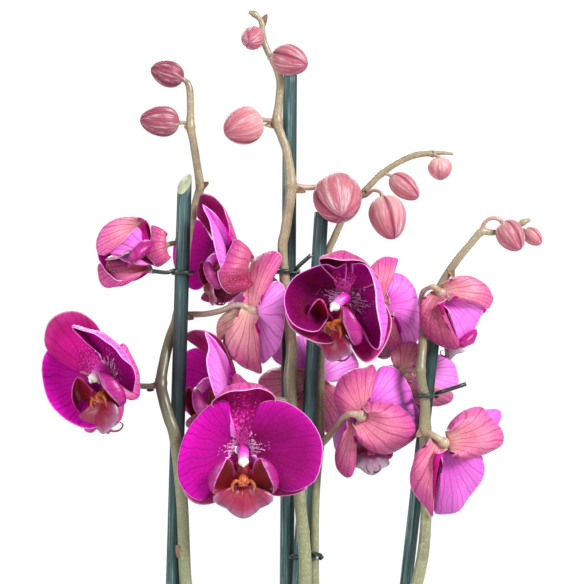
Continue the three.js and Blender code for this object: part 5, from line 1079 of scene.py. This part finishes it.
def add_tepal(bm, kind, seen, claw, bulge, shade_and_light_tones, rim, fold, seed):
    surface, facing = petal_surface(place(claw), places(rim), places(fold), bulge * MM, CLAW_BREADTH[kind],
                                    PETAL_RIPPLE, seed)
    near, far = SIDES[kind] if seen == "front" else SIDES[kind][::-1]
    normal = Vector((0, 0, 0))
    for s in (0.2, 0.35, 0.5, 0.65, 0.8):
        sideways = surface(s + 0.02, 0.5) - surface(s - 0.02, 0.5)
        normal += sideways.cross(surface(s, 0.55) - surface(s, 0.45))
    if normal.dot(facing) < 0:
        near, far = far, near
    # the painted shade and painted light fade a little towards the rim, which keeps more of the skin's own
    # colour than the middle
    add_sheet(bm, PETAL_ACROSS, PETAL_ALONG, surface, PETAL_THICK, near, far,
              lambda s, q: smooth_number(shade_and_light_tones, s) * (1 - 0.3 * q ** 6))


# %% Knob, column and cap
HUB_RADIUS = 3.2 * MM
COLUMN_LINE = [(0, 6, 2), (0, 4.5, 7), (0, 2.5, 9.5)]
COLUMN_RADII = [3 * MM, 3.1 * MM, 3 * MM, 2.5 * MM]
CAP_MIDDLE = (0, 2.2, 10)
CAP_TIP = (0, 0, 12)
CAP_RADIUS = 2.9 * MM
BEAK_LINE = [(0, 2, 11), (0, 0.9, 12.4), (0, -0.4, 12.4)]
BEAK_RADII = [1.6 * MM, 1.1 * MM, 0.35 * MM]
for number, (hub, lip, tepals) in enumerate(BLOOMS, 1):
    bm = new_piece()
    for k, (kind, seen, claw, bulge, shade_and_light_tones, rim, *fold) in enumerate(tepals):
        add_tepal(bm, kind, seen, claw, bulge, shade_and_light_tones, rim, fold[0] if fold else [], 7 * number + k)
    knob = place(hub)
    set_in = lip_frame(lip)
    line = [knob] + set_in(COLUMN_LINE)
    add_roll(bm, 20, 12, ball_surface(knob, HUB_RADIUS, line[1] - knob), STALK)
    add_pipe(bm, line, COLUMN_RADII, 20, 18, COLUMN)
    cap, tip = set_in([CAP_MIDDLE, CAP_TIP])
    add_roll(bm, 18, 12, ball_surface(cap, CAP_RADIUS * lip[6], tip - cap, 0.8), CAP)
    add_pipe(bm, set_in(BEAK_LINE), BEAK_RADII, 10, 6, CAP)
    finish_piece(bm, f"moth_flower_{number}", FLOWER_FINISHES, "petal", f"bloom_{number}")

# %% [markdown]
# ## Lips
# Two side lobes stand up round the column like the sides of a cradle, and a tongue shaped like an
# anchor reaches forward between them, with two thin curling tendrils at its tip. Where the three meet
# sits the callus, a little striped cushion with two horns.

# %% Lobes
LIP_THICK = 0.9 * MM
LIP_RIPPLE = 0.8 * MM
LIP_CLAW_BREADTH = 2.5 * MM
SIDE_CLAW = (1.5, -11, 4)
SIDE_FOLD = [(8, -15, 5), (16, -15, 6), (18.5, -9, 9.5), (16, -1, 12), (11, 3.5, 12), (6, 1, 11),
             (4.5, -5, 8)]
SIDE_RIM = [(8, -16, 5), (15, -15.5, 9), (15, -9, 14.5), (11.5, -1, 16), (8.5, 4.5, 13.5), (5.5, 1.5, 11),
            (5.5, -6, 8)]
TONGUE_CLAW = (0, -11, 4)
TONGUE_HALF = [(4.5, -12, 6), (10, -13, 8.5), (15.5, -15.5, 11), (15.8, -19, 11), (12, -22, 9),
               (9, -23.5, 8), (6.5, -26, 8.4), (3, -28, 9.6)]
TONGUE_TIP = (0, -28.5, 9.8)
TONGUE_RIM = TONGUE_HALF + [TONGUE_TIP] + [(-x, y, z) for x, y, z in reversed(TONGUE_HALF)]
TONGUE_BULGE = 3 * MM
LIP_FINISHES = [LIP_INSIDE, LIP_OUTSIDE, LIP_TONGUE, TONGUE_BACK, CALLUS, TENDRIL]
INSIDE, OUTSIDE, TONGUE, UNDER_TONGUE, CUSHION, THREAD = range(6)


def add_lobe(bm, claw, rim, fold, bulge, axis, inside, outside, seed):
    surface, _ = petal_surface(claw[0], rim, fold, bulge, LIP_CLAW_BREADTH, LIP_RIPPLE, seed)
    normal = (surface(0.6, 0.4) - surface(0.4, 0.4)).cross(surface(0.5, 0.5) - surface(0.5, 0.3))
    near, far = (inside, outside) if normal.dot(axis) > 0 else (outside, inside)
    add_sheet(bm, 22, 16, surface, LIP_THICK, near, far)


# %% Callus, tendrils and whole lips
NECK = [(0, 1.5, 1.5), (0, -6, 1.5), (0, -13, 5)]
NECK_RADII = [2.8 * MM, 4.2 * MM, 4.2 * MM]
CALLUS_LINE = [(0, -7, 4.5), (0, -8.6, 7.4), (0, -11.5, 8.6)]
CALLUS_RADII = [2, 3.2, 2.2]
# a horn, a keel and a tendril on each side: its line, its radii, how many sides and steps, its finish
HORN = ([(1, -10, 8.5), (2, -9, 11), (2.6, -7.4, 12.4)], [1.3, 1, 0.3], 10, 8, CUSHION)
KEEL = ([(1.5, -9, 7), (4.2, -8.6, 9), (6, -11, 9.6), (5.4, -14.5, 9.4)], [0.9, 1.1, 0.9, 0.4], 10, 12,
        CUSHION)
CURL = ([(1.6, -26.5, 8), (2.6, -28, 5.5), (4.4, -28, 2.5), (5.6, -25.6, 0.6), (4.6, -23.8, 1.6)],
        [0.9, 0.6, 0.45, 0.3], 8, 18, THREAD)
for number, (_, lip, _) in enumerate(BLOOMS, 1):
    bm = new_piece()
    set_in = lip_frame(lip)
    right, up, forward = lip_axes(lip)
    size = lip[6] * MM
    for flip, seed in ((1, number), (-1, number + 20)):
        add_lobe(bm, set_in([SIDE_CLAW], flip), set_in(SIDE_RIM, flip), set_in(SIDE_FOLD, flip), 0,
                 forward - right * flip, INSIDE, OUTSIDE, seed)
    add_lobe(bm, set_in([TONGUE_CLAW]), set_in(TONGUE_RIM), None, TONGUE_BULGE, forward + up, TONGUE,
             UNDER_TONGUE, number + 40)
    add_pipe(bm, set_in(NECK), NECK_RADII, 16, 14, INSIDE)
    add_pipe(bm, set_in(CALLUS_LINE), [radius * size for radius in CALLUS_RADII], 18, 12, CUSHION)
    for flip in (1, -1):
        for line, radii, around, steps, finish in (HORN, KEEL, CURL):
            add_pipe(bm, set_in(line, flip), [radius * size for radius in radii], around, steps, finish)
    finish_piece(bm, f"moth_lip_{number}", LIP_FINISHES, "lip", f"lip_{number}")

# %% [markdown]
# ## Buds
# A bud is three sepals closed over one another. Their edges make three grooves that meet at the tip, and
# each sepal keeps its own veins. The bud is widest below its middle.

# %% Buds
BUD_SEAM = 0.1
BUD_SEAM_BREADTH = 0.055
BUD_LAP = 0.035
BUD_BELLY = 1.07
BUD_TAPER = 0.28
BUD_WAVE = 0.02
BUD_TONES = {1: 0.9, 2: 0.75, 3: 0.4, 4: 0.3, 6: 0.3, 8: 0.3, 10: 0.35}
for number, (foot, tip, width, turn) in enumerate(BUDS, 1):
    low, high = place(foot), place(tip)
    axis = high - low
    turned = Vector((0, 0, 1)).rotation_difference(axis.normalized())
    seams = math.radians(turn)

    def bud_surface(around, share):
        tilt = math.pi * share
        height = (1 - math.cos(tilt)) / 2
        angle = 2 * math.pi * around
        out = bearing(angle)
        third = ((angle + seams) / (2 * math.pi) * 3) % 1
        # each sepal's left edge lies over its neighbour's right edge
        edge = min(third, 1 - third)
        groove = BUD_SEAM * math.exp(-((edge / BUD_SEAM_BREADTH) ** 2)) + BUD_LAP * third ** 8
        belly = width * MM / 2 * (BUD_BELLY - BUD_TAPER * height)
        swell = belly * (1 - groove * min(1, 3 * share)) * math.sin(tilt)
        wave = 1 + BUD_WAVE * noise.noise(out * 2 + Vector((0, 0, height * 3 + number)))
        flat = out * swell * wave
        flat.rotate(turned)
        return low + flat + axis * height

    bm = new_piece()
    add_roll(bm, 96, 40, bud_surface, 0, (3, 1), seams / (2 * math.pi))
    shade(bm, lambda vert: BUD_TONES.get(number, 0))
    finish_piece(bm, f"bud_skin_{number}", [BUD_SKIN], "bud", f"bud_{number}")

# %% [markdown]
# ## Flower stems
# Each stem is a pipe whose radius is read off the drawing at every point. It swells a little at its nodes,
# where a stalk leaves it, and wears brown scales. Stalks run right up to the knob behind their flower,
# or to the foot of their bud.

# %% Scales
SCALE_WIDTH = 4.2 * MM
SCALE_THICK = 0.6 * MM
SCALE_HOLLOW = 0.28


def add_scale(bm, low, high):
    # a pointed, hollowed scale leaf that hugs the stem
    along = high - low
    side = along.cross(Vector((0, 1, 0))).normalized() * (SCALE_WIDTH / 2)
    hollow = along.cross(side).normalized() * (SCALE_WIDTH * SCALE_HOLLOW)

    def surface(s, q):
        spread = 2 * s - 1
        share = max(math.cos(math.pi / 2 * q) ** 0.7, 0.03) if q < 1 else 0.03
        return low + along * q + side * spread * share + hollow * (spread ** 2 - 0.5) * share
    add_sheet(bm, 8, 10, surface, SCALE_THICK, BRACT, BRACT)


# %% Stems and stalks
STEM_FINISHES = [STEM_SKIN, STALK_SKIN, BRACT_SKIN]
STEM, SLIM, BRACT = range(3)
# painted shade on the stems: the row of the drawing, how many rows it spreads over, and how dark it is there
STEM_PAINTED_SHADE = {"flower_spike_a": (385, 60, 0.75), "flower_spike_b": (395, 30, 0.4),
               "flower_spike_d": (375, 50, 0.35)}
NODE_SWELL = 0.16
NODE_LENGTH = 0.008  # of the stem
STALK_SWELLS = [1.25, 1, 0.95, 1.15]
for name, line, stalks, bracts in SPIKES:
    bm = new_piece()
    points = places(line)
    radii = [spot[3] * MM for spot in line]
    # a node is the point of the stem that is nearest to where a stalk begins
    nodes = sorted({min(range(len(points)), key=lambda k: (points[k] - place(path[0])).length)
                    / (len(points) - 1) for _, _, path in stalks})

    def stem_radius(s, turn):
        swell = sum(NODE_SWELL * math.exp(-(((s - node) / NODE_LENGTH) ** 2)) for node in nodes)
        bumpy = 0.012 * noise.noise(Vector((s * 60, turn * 3, 0)))
        return smooth_number(radii, s) * (1 + swell + bumpy)

    add_pipe(bm, points, stem_radius, 18, 8 * len(points), STEM)
    for carried, radius, path in stalks:
        path = places(path + [CARRIED[carried]])
        add_pipe(bm, path, [radius * MM * swell for swell in STALK_SWELLS], 14, 6 * len(path), SLIM)
    for foot, tip in bracts:
        add_scale(bm, place(foot), place(tip))
    if name in STEM_PAINTED_SHADE:
        shade(bm, painted_shade_band(*STEM_PAINTED_SHADE[name]))
    finish_piece(bm, f"stem_of_{name}", STEM_FINISHES, "stem", name)

# %% [markdown]
# ## Stakes and ties
# A stake is split bamboo, so its round is uneven, with long flats and ridges. The first one is cut on a
# slant and shows raw wood. A tie is one length of wire, wound round stem and stake and left sticking out.

# %% Stakes
STAKE_FOOT = 70 * MM
STAKE_ROWS = 60
STAKE_FLATS = 0.05
STAKE_RIDGES = 0.02
# painted shade on the stakes: the row of the drawing, how many rows it spreads over, and how dark it is
# there
STAKE_PAINTED_SHADE = {"stake_a": (375, 95, 0.85), "stake_b": (345, 60, 0.8), "stake_d": (385, 60, 0.7)}
for number, (name, top, low, radius, slant) in enumerate(STAKES):
    high, lower = place(top), place(low)
    foot = high + (high - lower) / (high.z - lower.z) * (STAKE_FOOT - high.z)

    def stake_surface(turn, share):
        row = round(share * (STAKE_ROWS + 2)) - 1
        out = bearing(2 * math.pi * turn)
        along = min(max(row, 0), STAKE_ROWS) / STAKE_ROWS
        ridge = 1 + STAKE_FLATS * noise.noise(out * 2.4 + Vector((0, 0, number)))
        ridge += STAKE_RIDGES * noise.noise(out * 6 + Vector((0, 0, along * 5 + number)))
        flat = out * (0 if row < 0 or row > STAKE_ROWS else radius * MM * ridge)
        # the cut rises to the right and away from the viewer
        tilt = slant * (0.3 * flat.x + 0.5 * flat.y) / radius * along ** 40
        return foot.lerp(high, along) + flat + Vector((0, 0, tilt))

    bm = new_piece()
    add_roll(bm, 32, STAKE_ROWS + 2, stake_surface, 0, (2 * math.pi * radius, (high.z - foot.z) / MM))
    for face in bm.faces:
        if slant and face.normal.z > 0.3 and face.calc_center_median().z > high.z - slant * MM:
            face.material_index = 1
    if name in STAKE_PAINTED_SHADE:
        shade(bm, painted_shade_band(*STAKE_PAINTED_SHADE[name]))
    finish_piece(bm, "bamboo_" + name[-1], [DYED_BAMBOO, RAW_BAMBOO], "stake", name)

# %% Wire ties
WIRE_RADIUS = 1.3 * MM
TIE_GAP = 0.35 * MM
TIE_STEPS = 40
TIE_RISE = 1.2 * WIRE_RADIUS
THIN_WIRE = 0.93 * WIRE_RADIUS
for name, stem, pole, free in TIES:
    ends = [(place(held), held[3] * MM + TIE_GAP + WIRE_RADIUS) for held in (stem, pole)]
    between = ends[1][0] - ends[0][0]
    loose = places(free)
    nearest = min((centre for centre, _ in ends), key=lambda centre: (centre - loose[0]).length)
    first = loose[0] - nearest
    start = math.atan2(first.y, first.x)
    # once round both, rising by two thirds of the wire's thickness, and out to the free end
    wound = []
    for k in range(TIE_STEPS + 1):
        side = bearing(start + 2 * math.pi * k / TIE_STEPS)
        centre, reach = ends[1 if side.dot(between) > 0 else 0]
        spot = centre + side * reach
        wound.append(Vector((spot.x, spot.y, ends[0][0].z + (k / TIE_STEPS - 0.5) * TIE_RISE)))
    bm = new_piece()
    add_pipe(bm, wound + loose, [THIN_WIRE, THIN_WIRE, THIN_WIRE, THIN_WIRE * 0.96], 12, 150, 0)
    away = loose[-1] - loose[-2]
    add_roll(bm, 12, 6, ball_surface(loose[-1], THIN_WIRE * 0.8, away, 0.5), 1)
    finish_piece(bm, "wire_" + name, [GREEN_WIRE, CUT_WIRE], "wire", name)

# %% [markdown]
# ## Crowns, roots and leaves
# A moth orchid has no bulb: its strap leaves clasp a short stump one inside another, and thick silvery
# roots arch out between them into the bark. A leaf is a keeled strap that arches over and droops.

# %% Crowns and roots
CROWN_RADIUS = 12 * MM
CROWN_FOOT = 78 * MM
CROWN_TOP = 137 * MM
ROOT_RADIUS = 2.4 * MM


def stump_radius(s, turn):
    # narrow at its foot, pressed flat by one leaf after another, with five sheaths that step in
    clasp = 0.06 * math.cos(2 * math.pi * turn) * math.cos(s * 14)
    sheath = 0.05 * ((s * 5) % 1)
    return CROWN_RADIUS * (0.72 + 0.3 * math.sin(math.pi / 2 * min(1, s * 1.2)) - 0.08 * s + clasp - sheath)


def root_radius(s, turn):
    return ROOT_RADIUS * (1 + 0.08 * noise.noise(Vector((s * 9, turn * 3, 1))))


for name, x, y, roots in CROWNS:
    base = Vector((x, y, 0)) * MM
    bm = new_piece()
    stump = [base + Vector((0, 0, CROWN_FOOT + (CROWN_TOP - CROWN_FOOT) * k / 4)) for k in range(5)]
    add_pipe(bm, stump, stump_radius, 28, 40, 0)
    for k, heading in enumerate(roots):
        out = bearing(math.radians(heading))
        # each root arches a little lower than the last, over the bark and down into it
        arch = ((6, 112 - k), (13, 119 - k), (19, 121 - k), (25, 114), (28, 100))
        path = [base + (out * reach + Vector((0, 0, rise))) * MM for reach, rise in arch]
        add_pipe(bm, path, root_radius, 14, 30, 1)
    finish_piece(bm, "leaf_bases_" + name[-1], [LEAF_TOP, ROOT_SKIN], "crown", name)

# %% Leaves
LEAF_THICK = 2.4 * MM
LEAF_WIDTHS = [0.2, 0.42, 0.72, 0.93, 1, 0.96, 0.78, 0.14]
LEAF_KEEL = 0.3
LEAF_GROOVE = 0.9 * MM
LEAF_WAVE = 1.2 * MM
LEAF_START = 1.3 * MM  # outside the crown
for number, (home, heading, length, width, foot, rise, drop) in enumerate(LEAVES, 1):
    out = bearing(math.radians(heading))
    side = Vector((-out.y, out.x, 0))
    start = Vector((CROWNS[home][1], CROWNS[home][2], foot)) * MM + out * (CROWN_RADIUS + LEAF_START)
    middle = start + out * (0.4 * length * MM)
    middle.z = (foot + 1.4 * rise) * MM
    end = start + out * (0.95 * length * MM)
    end.z = (foot + rise - drop) * MM
    widths = [Vector((share * width * MM, 0, 0)) for share in LEAF_WIDTHS]

    def leaf_surface(s, q):
        half = smooth_line(widths, q).x / 2
        spread = 2 * s - 1
        keel = LEAF_KEEL * half * (abs(spread) ** 1.3) - LEAF_GROOVE * math.exp(-((spread / 0.05) ** 2))
        wave = LEAF_WAVE * noise.noise(Vector((spread * 1.3, q * 4, number))) * q
        spot = start * ((1 - q) ** 2) + middle * (2 * q * (1 - q)) + end * (q * q)
        return spot + side * (spread * half * 0.96) + Vector((0, 0, keel + wave))

    bm = new_piece()
    # side crossed with out points down, so the sheet's front is the leaf's underside
    add_sheet(bm, 48, 60, leaf_surface, LEAF_THICK, 1, 0)
    finish_piece(bm, f"strap_leaf_{number}", [LEAF_TOP, LEAF_UNDER], "leaf", f"leaf_{number}")

# %% [markdown]
# ## Bark
# Orchids are potted in chips of pine bark, so that air reaches the roots. The bed keeps the room that
# the stakes, crowns and roots need, and the loose chips are small blocks, worn at their corners and
# crumpled.

# %% Bark bed and chips
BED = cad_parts["potting_bark"]
BED.data.materials.clear()
BED.data.materials.append(PINE_BARK)
CHIP_REACH = 65 * MM  # from the pot's axis
CHIP_LEVEL = 120.5
CHIPS = 150
GOLDEN_TURN = 2.39996
CROWN_ROOM = 17 * MM
STAKE_ROOM = 5
CORNER_WEAR = 0.28
CORNER_START = 0.55
CRUMPLE = 0.16
rng = random.Random(11)
bm = new_piece()
laid = 0
for k in range(CHIPS):
    out = bearing(k * GOLDEN_TURN) * (CHIP_REACH * math.sqrt((k + 0.5) / CHIPS))
    spot = out + Vector((0, 0, (CHIP_LEVEL + 3 * rng.random()) * MM))
    near = [math.hypot(spot.x - x * MM, spot.y - y * MM) < CROWN_ROOM for _, x, y, _ in CROWNS]
    for _, top, low, radius, _ in STAKES:
        high, lower = place(top), place(low)
        at = high.lerp(lower, (high.z - spot.z) / (high.z - lower.z))
        near.append(math.hypot(spot.x - at.x, spot.y - at.y) < (radius + STAKE_ROOM) * MM)
    size = Vector((5 + 7 * rng.random(), 4 + 5 * rng.random(), 2.2 + 2 * rng.random())) * MM
    twist = [rng.uniform(-0.5, 0.5), rng.uniform(-0.5, 0.5), rng.uniform(0, math.pi)]
    if any(near):
        continue
    earlier = len(bm.verts)
    verts = bmesh.ops.create_cube(bm, size=1)["verts"]
    edges = list({edge for vert in verts for edge in vert.link_edges})
    bmesh.ops.subdivide_edges(bm, edges=edges, cuts=2, use_grid_fill=True)
    verts = bm.verts[:][earlier:]
    for vert in verts:
        co = vert.co * (1 - CORNER_WEAR * max(0, vert.co.length - CORNER_START))
        co += Vector([noise.noise(co * 3 + Vector((k, axis, 0))) * CRUMPLE for axis in range(3)])
        vert.co = co * size
    for angle, axis in zip(twist, "XYZ"):
        bmesh.ops.rotate(bm, verts=verts, cent=(0, 0, 0), matrix=Matrix.Rotation(angle, 3, axis))
    bmesh.ops.translate(bm, verts=verts, vec=spot)
    laid += 1
finish_piece(bm, "bark_chips", [PINE_BARK], "bark")
print("chips laid:", laid)

# %% [markdown]
# ## Pot
# The pot is thrown and glazed: a wall that widens upwards, a plain band at the rim, soft edges, and
# a foot that was wiped clean of glaze. Its profile is spun round the axis.

# %% Pot
POT_PROFILE = [(0, 0.6), (50, 0.6), (54, 0.6), (56, 0), (60, 0), (61.5, 0.6), (62, 2), (64.2, 16),
               (70.4, 62), (75.4, 110), (76, 116), (76.6, 117.6), (79, 118.2), (80, 119.6), (80, 124),
               (80, 134.5), (79.4, 137), (78, 138), (76, 138), (74.6, 137), (74, 135.4), (73.2, 128),
               (71, 118), (64.5, 64), (58.4, 11.5), (56, 9), (50, 9), (0, 9)]
BARE_BELOW = 1.6 * MM
bm = new_piece()
verts = [bm.verts.new(Vector((r, 0, z)) * MM) for r, z in POT_PROFILE]
edges = [bm.edges.new(pair) for pair in zip(verts, verts[1:])]
bmesh.ops.spin(bm, geom=verts + edges, cent=(0, 0, 0), axis=(0, 0, 1), angle=2 * math.pi, steps=96,
               use_merge=True)
bmesh.ops.remove_doubles(bm, verts=bm.verts, dist=WELD / 2)
for face in bm.faces:
    face.smooth = True
    face.material_index = 1 if face.calc_center_median().z < BARE_BELOW else 0
finish_piece(bm, "glazed_pot", [GLAZE, BARE_CLAY], "pot", "pot")

# %% [markdown]
# ## Floor, light and camera
# A pale floor, a bright even surround and three soft lamps, as in a product photograph on white. The
# camera stands level with the middle flowers, so the stems leave the picture at its lower edge.

# %% Floor and backdrop
FLOOR_RADIUS = 1.4
BACKDROP_SIZE = 1.6
BACKDROP_PLACE = (0, 3.2, 0.5)
floor_paint, add = new_finish("pale_floor_paint")
grain = add("TexNoise", {"Vector": add("TexCoord", out="Object"), "Scale": 3, "Detail": 3})
finish_with(add, add("ValToRGB", {"Fac": grain}, [(0.3, "#E6E6E6"), (0.7, "#EAEAEA")]), 0.9)
bm = bmesh.new()
bmesh.ops.create_circle(bm, cap_ends=True, segments=96, radius=FLOOR_RADIUS)
floor = mesh_object(bm, "floor", [floor_paint])

# a white sheet lit until it is as bright as paper, well behind the plant
lit_sheet, add = new_finish("lit_white_backdrop")
grain = add("TexNoise", {"Vector": add("TexCoord", out="Object"), "Scale": 2})
white = add("ValToRGB", {"Fac": grain}, [(0, "#FDFDFD"), (1, "#FFFFFF")])
add("OutputMaterial", {"Surface": add("Emission", {"Color": white, "Strength": 1.05})})
bm = bmesh.new()
bmesh.ops.create_grid(bm, x_segments=4, y_segments=4, size=BACKDROP_SIZE)
bmesh.ops.rotate(bm, verts=bm.verts, cent=(0, 0, 0), matrix=Matrix.Rotation(math.pi / 2, 3, "X"))
bmesh.ops.translate(bm, verts=bm.verts, vec=BACKDROP_PLACE)
backdrop = mesh_object(bm, "backdrop", [lit_sheet])

# %% Lamps and surround
MIDDLE = Vector((0.01, 0, 0.41))
# name, place, width in metres and power in watts
LAMPS = [
    ("key_lamp", (0.95, -0.9, 1.25), 0.5, 30),
    ("fill_lamp", (-1.1, -0.9, 0.7), 0.9, 9),
    ("rim_lamp", (-0.4, 1.1, 1.2), 0.8, 14),
]
scene = bpy.context.scene
for name, spot, width, power in LAMPS:
    lamp = bpy.data.lights.new(name, "AREA")
    lamp.shape = "DISK"
    lamp.size = width
    lamp.energy = power
    holder = bpy.data.objects.new(name, lamp)
    holder.location = spot
    holder.rotation_euler = (MIDDLE - Vector(spot)).to_track_quat("-Z", "Y").to_euler()
    scene.collection.objects.link(holder)

world = bpy.data.worlds.new("white_surround")
world.use_nodes = True
surround = world.node_tree.nodes["Background"].inputs
surround["Color"].default_value = linear("#FFFFFF")
surround["Strength"].default_value = 0.38
scene.world = world
scene.view_settings.view_transform = "Standard"
scene.view_settings.look = "None"
print("lamps:", len(LAMPS))

# %% Camera
SENSOR = 36
PICTURE = 584
view = bpy.data.cameras.new("camera")
view.sensor_fit = "HORIZONTAL"
view.sensor_width = SENSOR
view.lens = SENSOR * SIGHT / (PICTURE * GRID)
view.clip_start = 0.05
camera = bpy.data.objects.new("camera", view)
camera.location = Vector((SIGHT_X, -SIGHT, SIGHT_Z)) * MM
camera.rotation_euler = (math.pi / 2, 0, 0)
scene.collection.objects.link(camera)
scene.camera = camera
print("lens:", round(view.lens, 1), "mm")
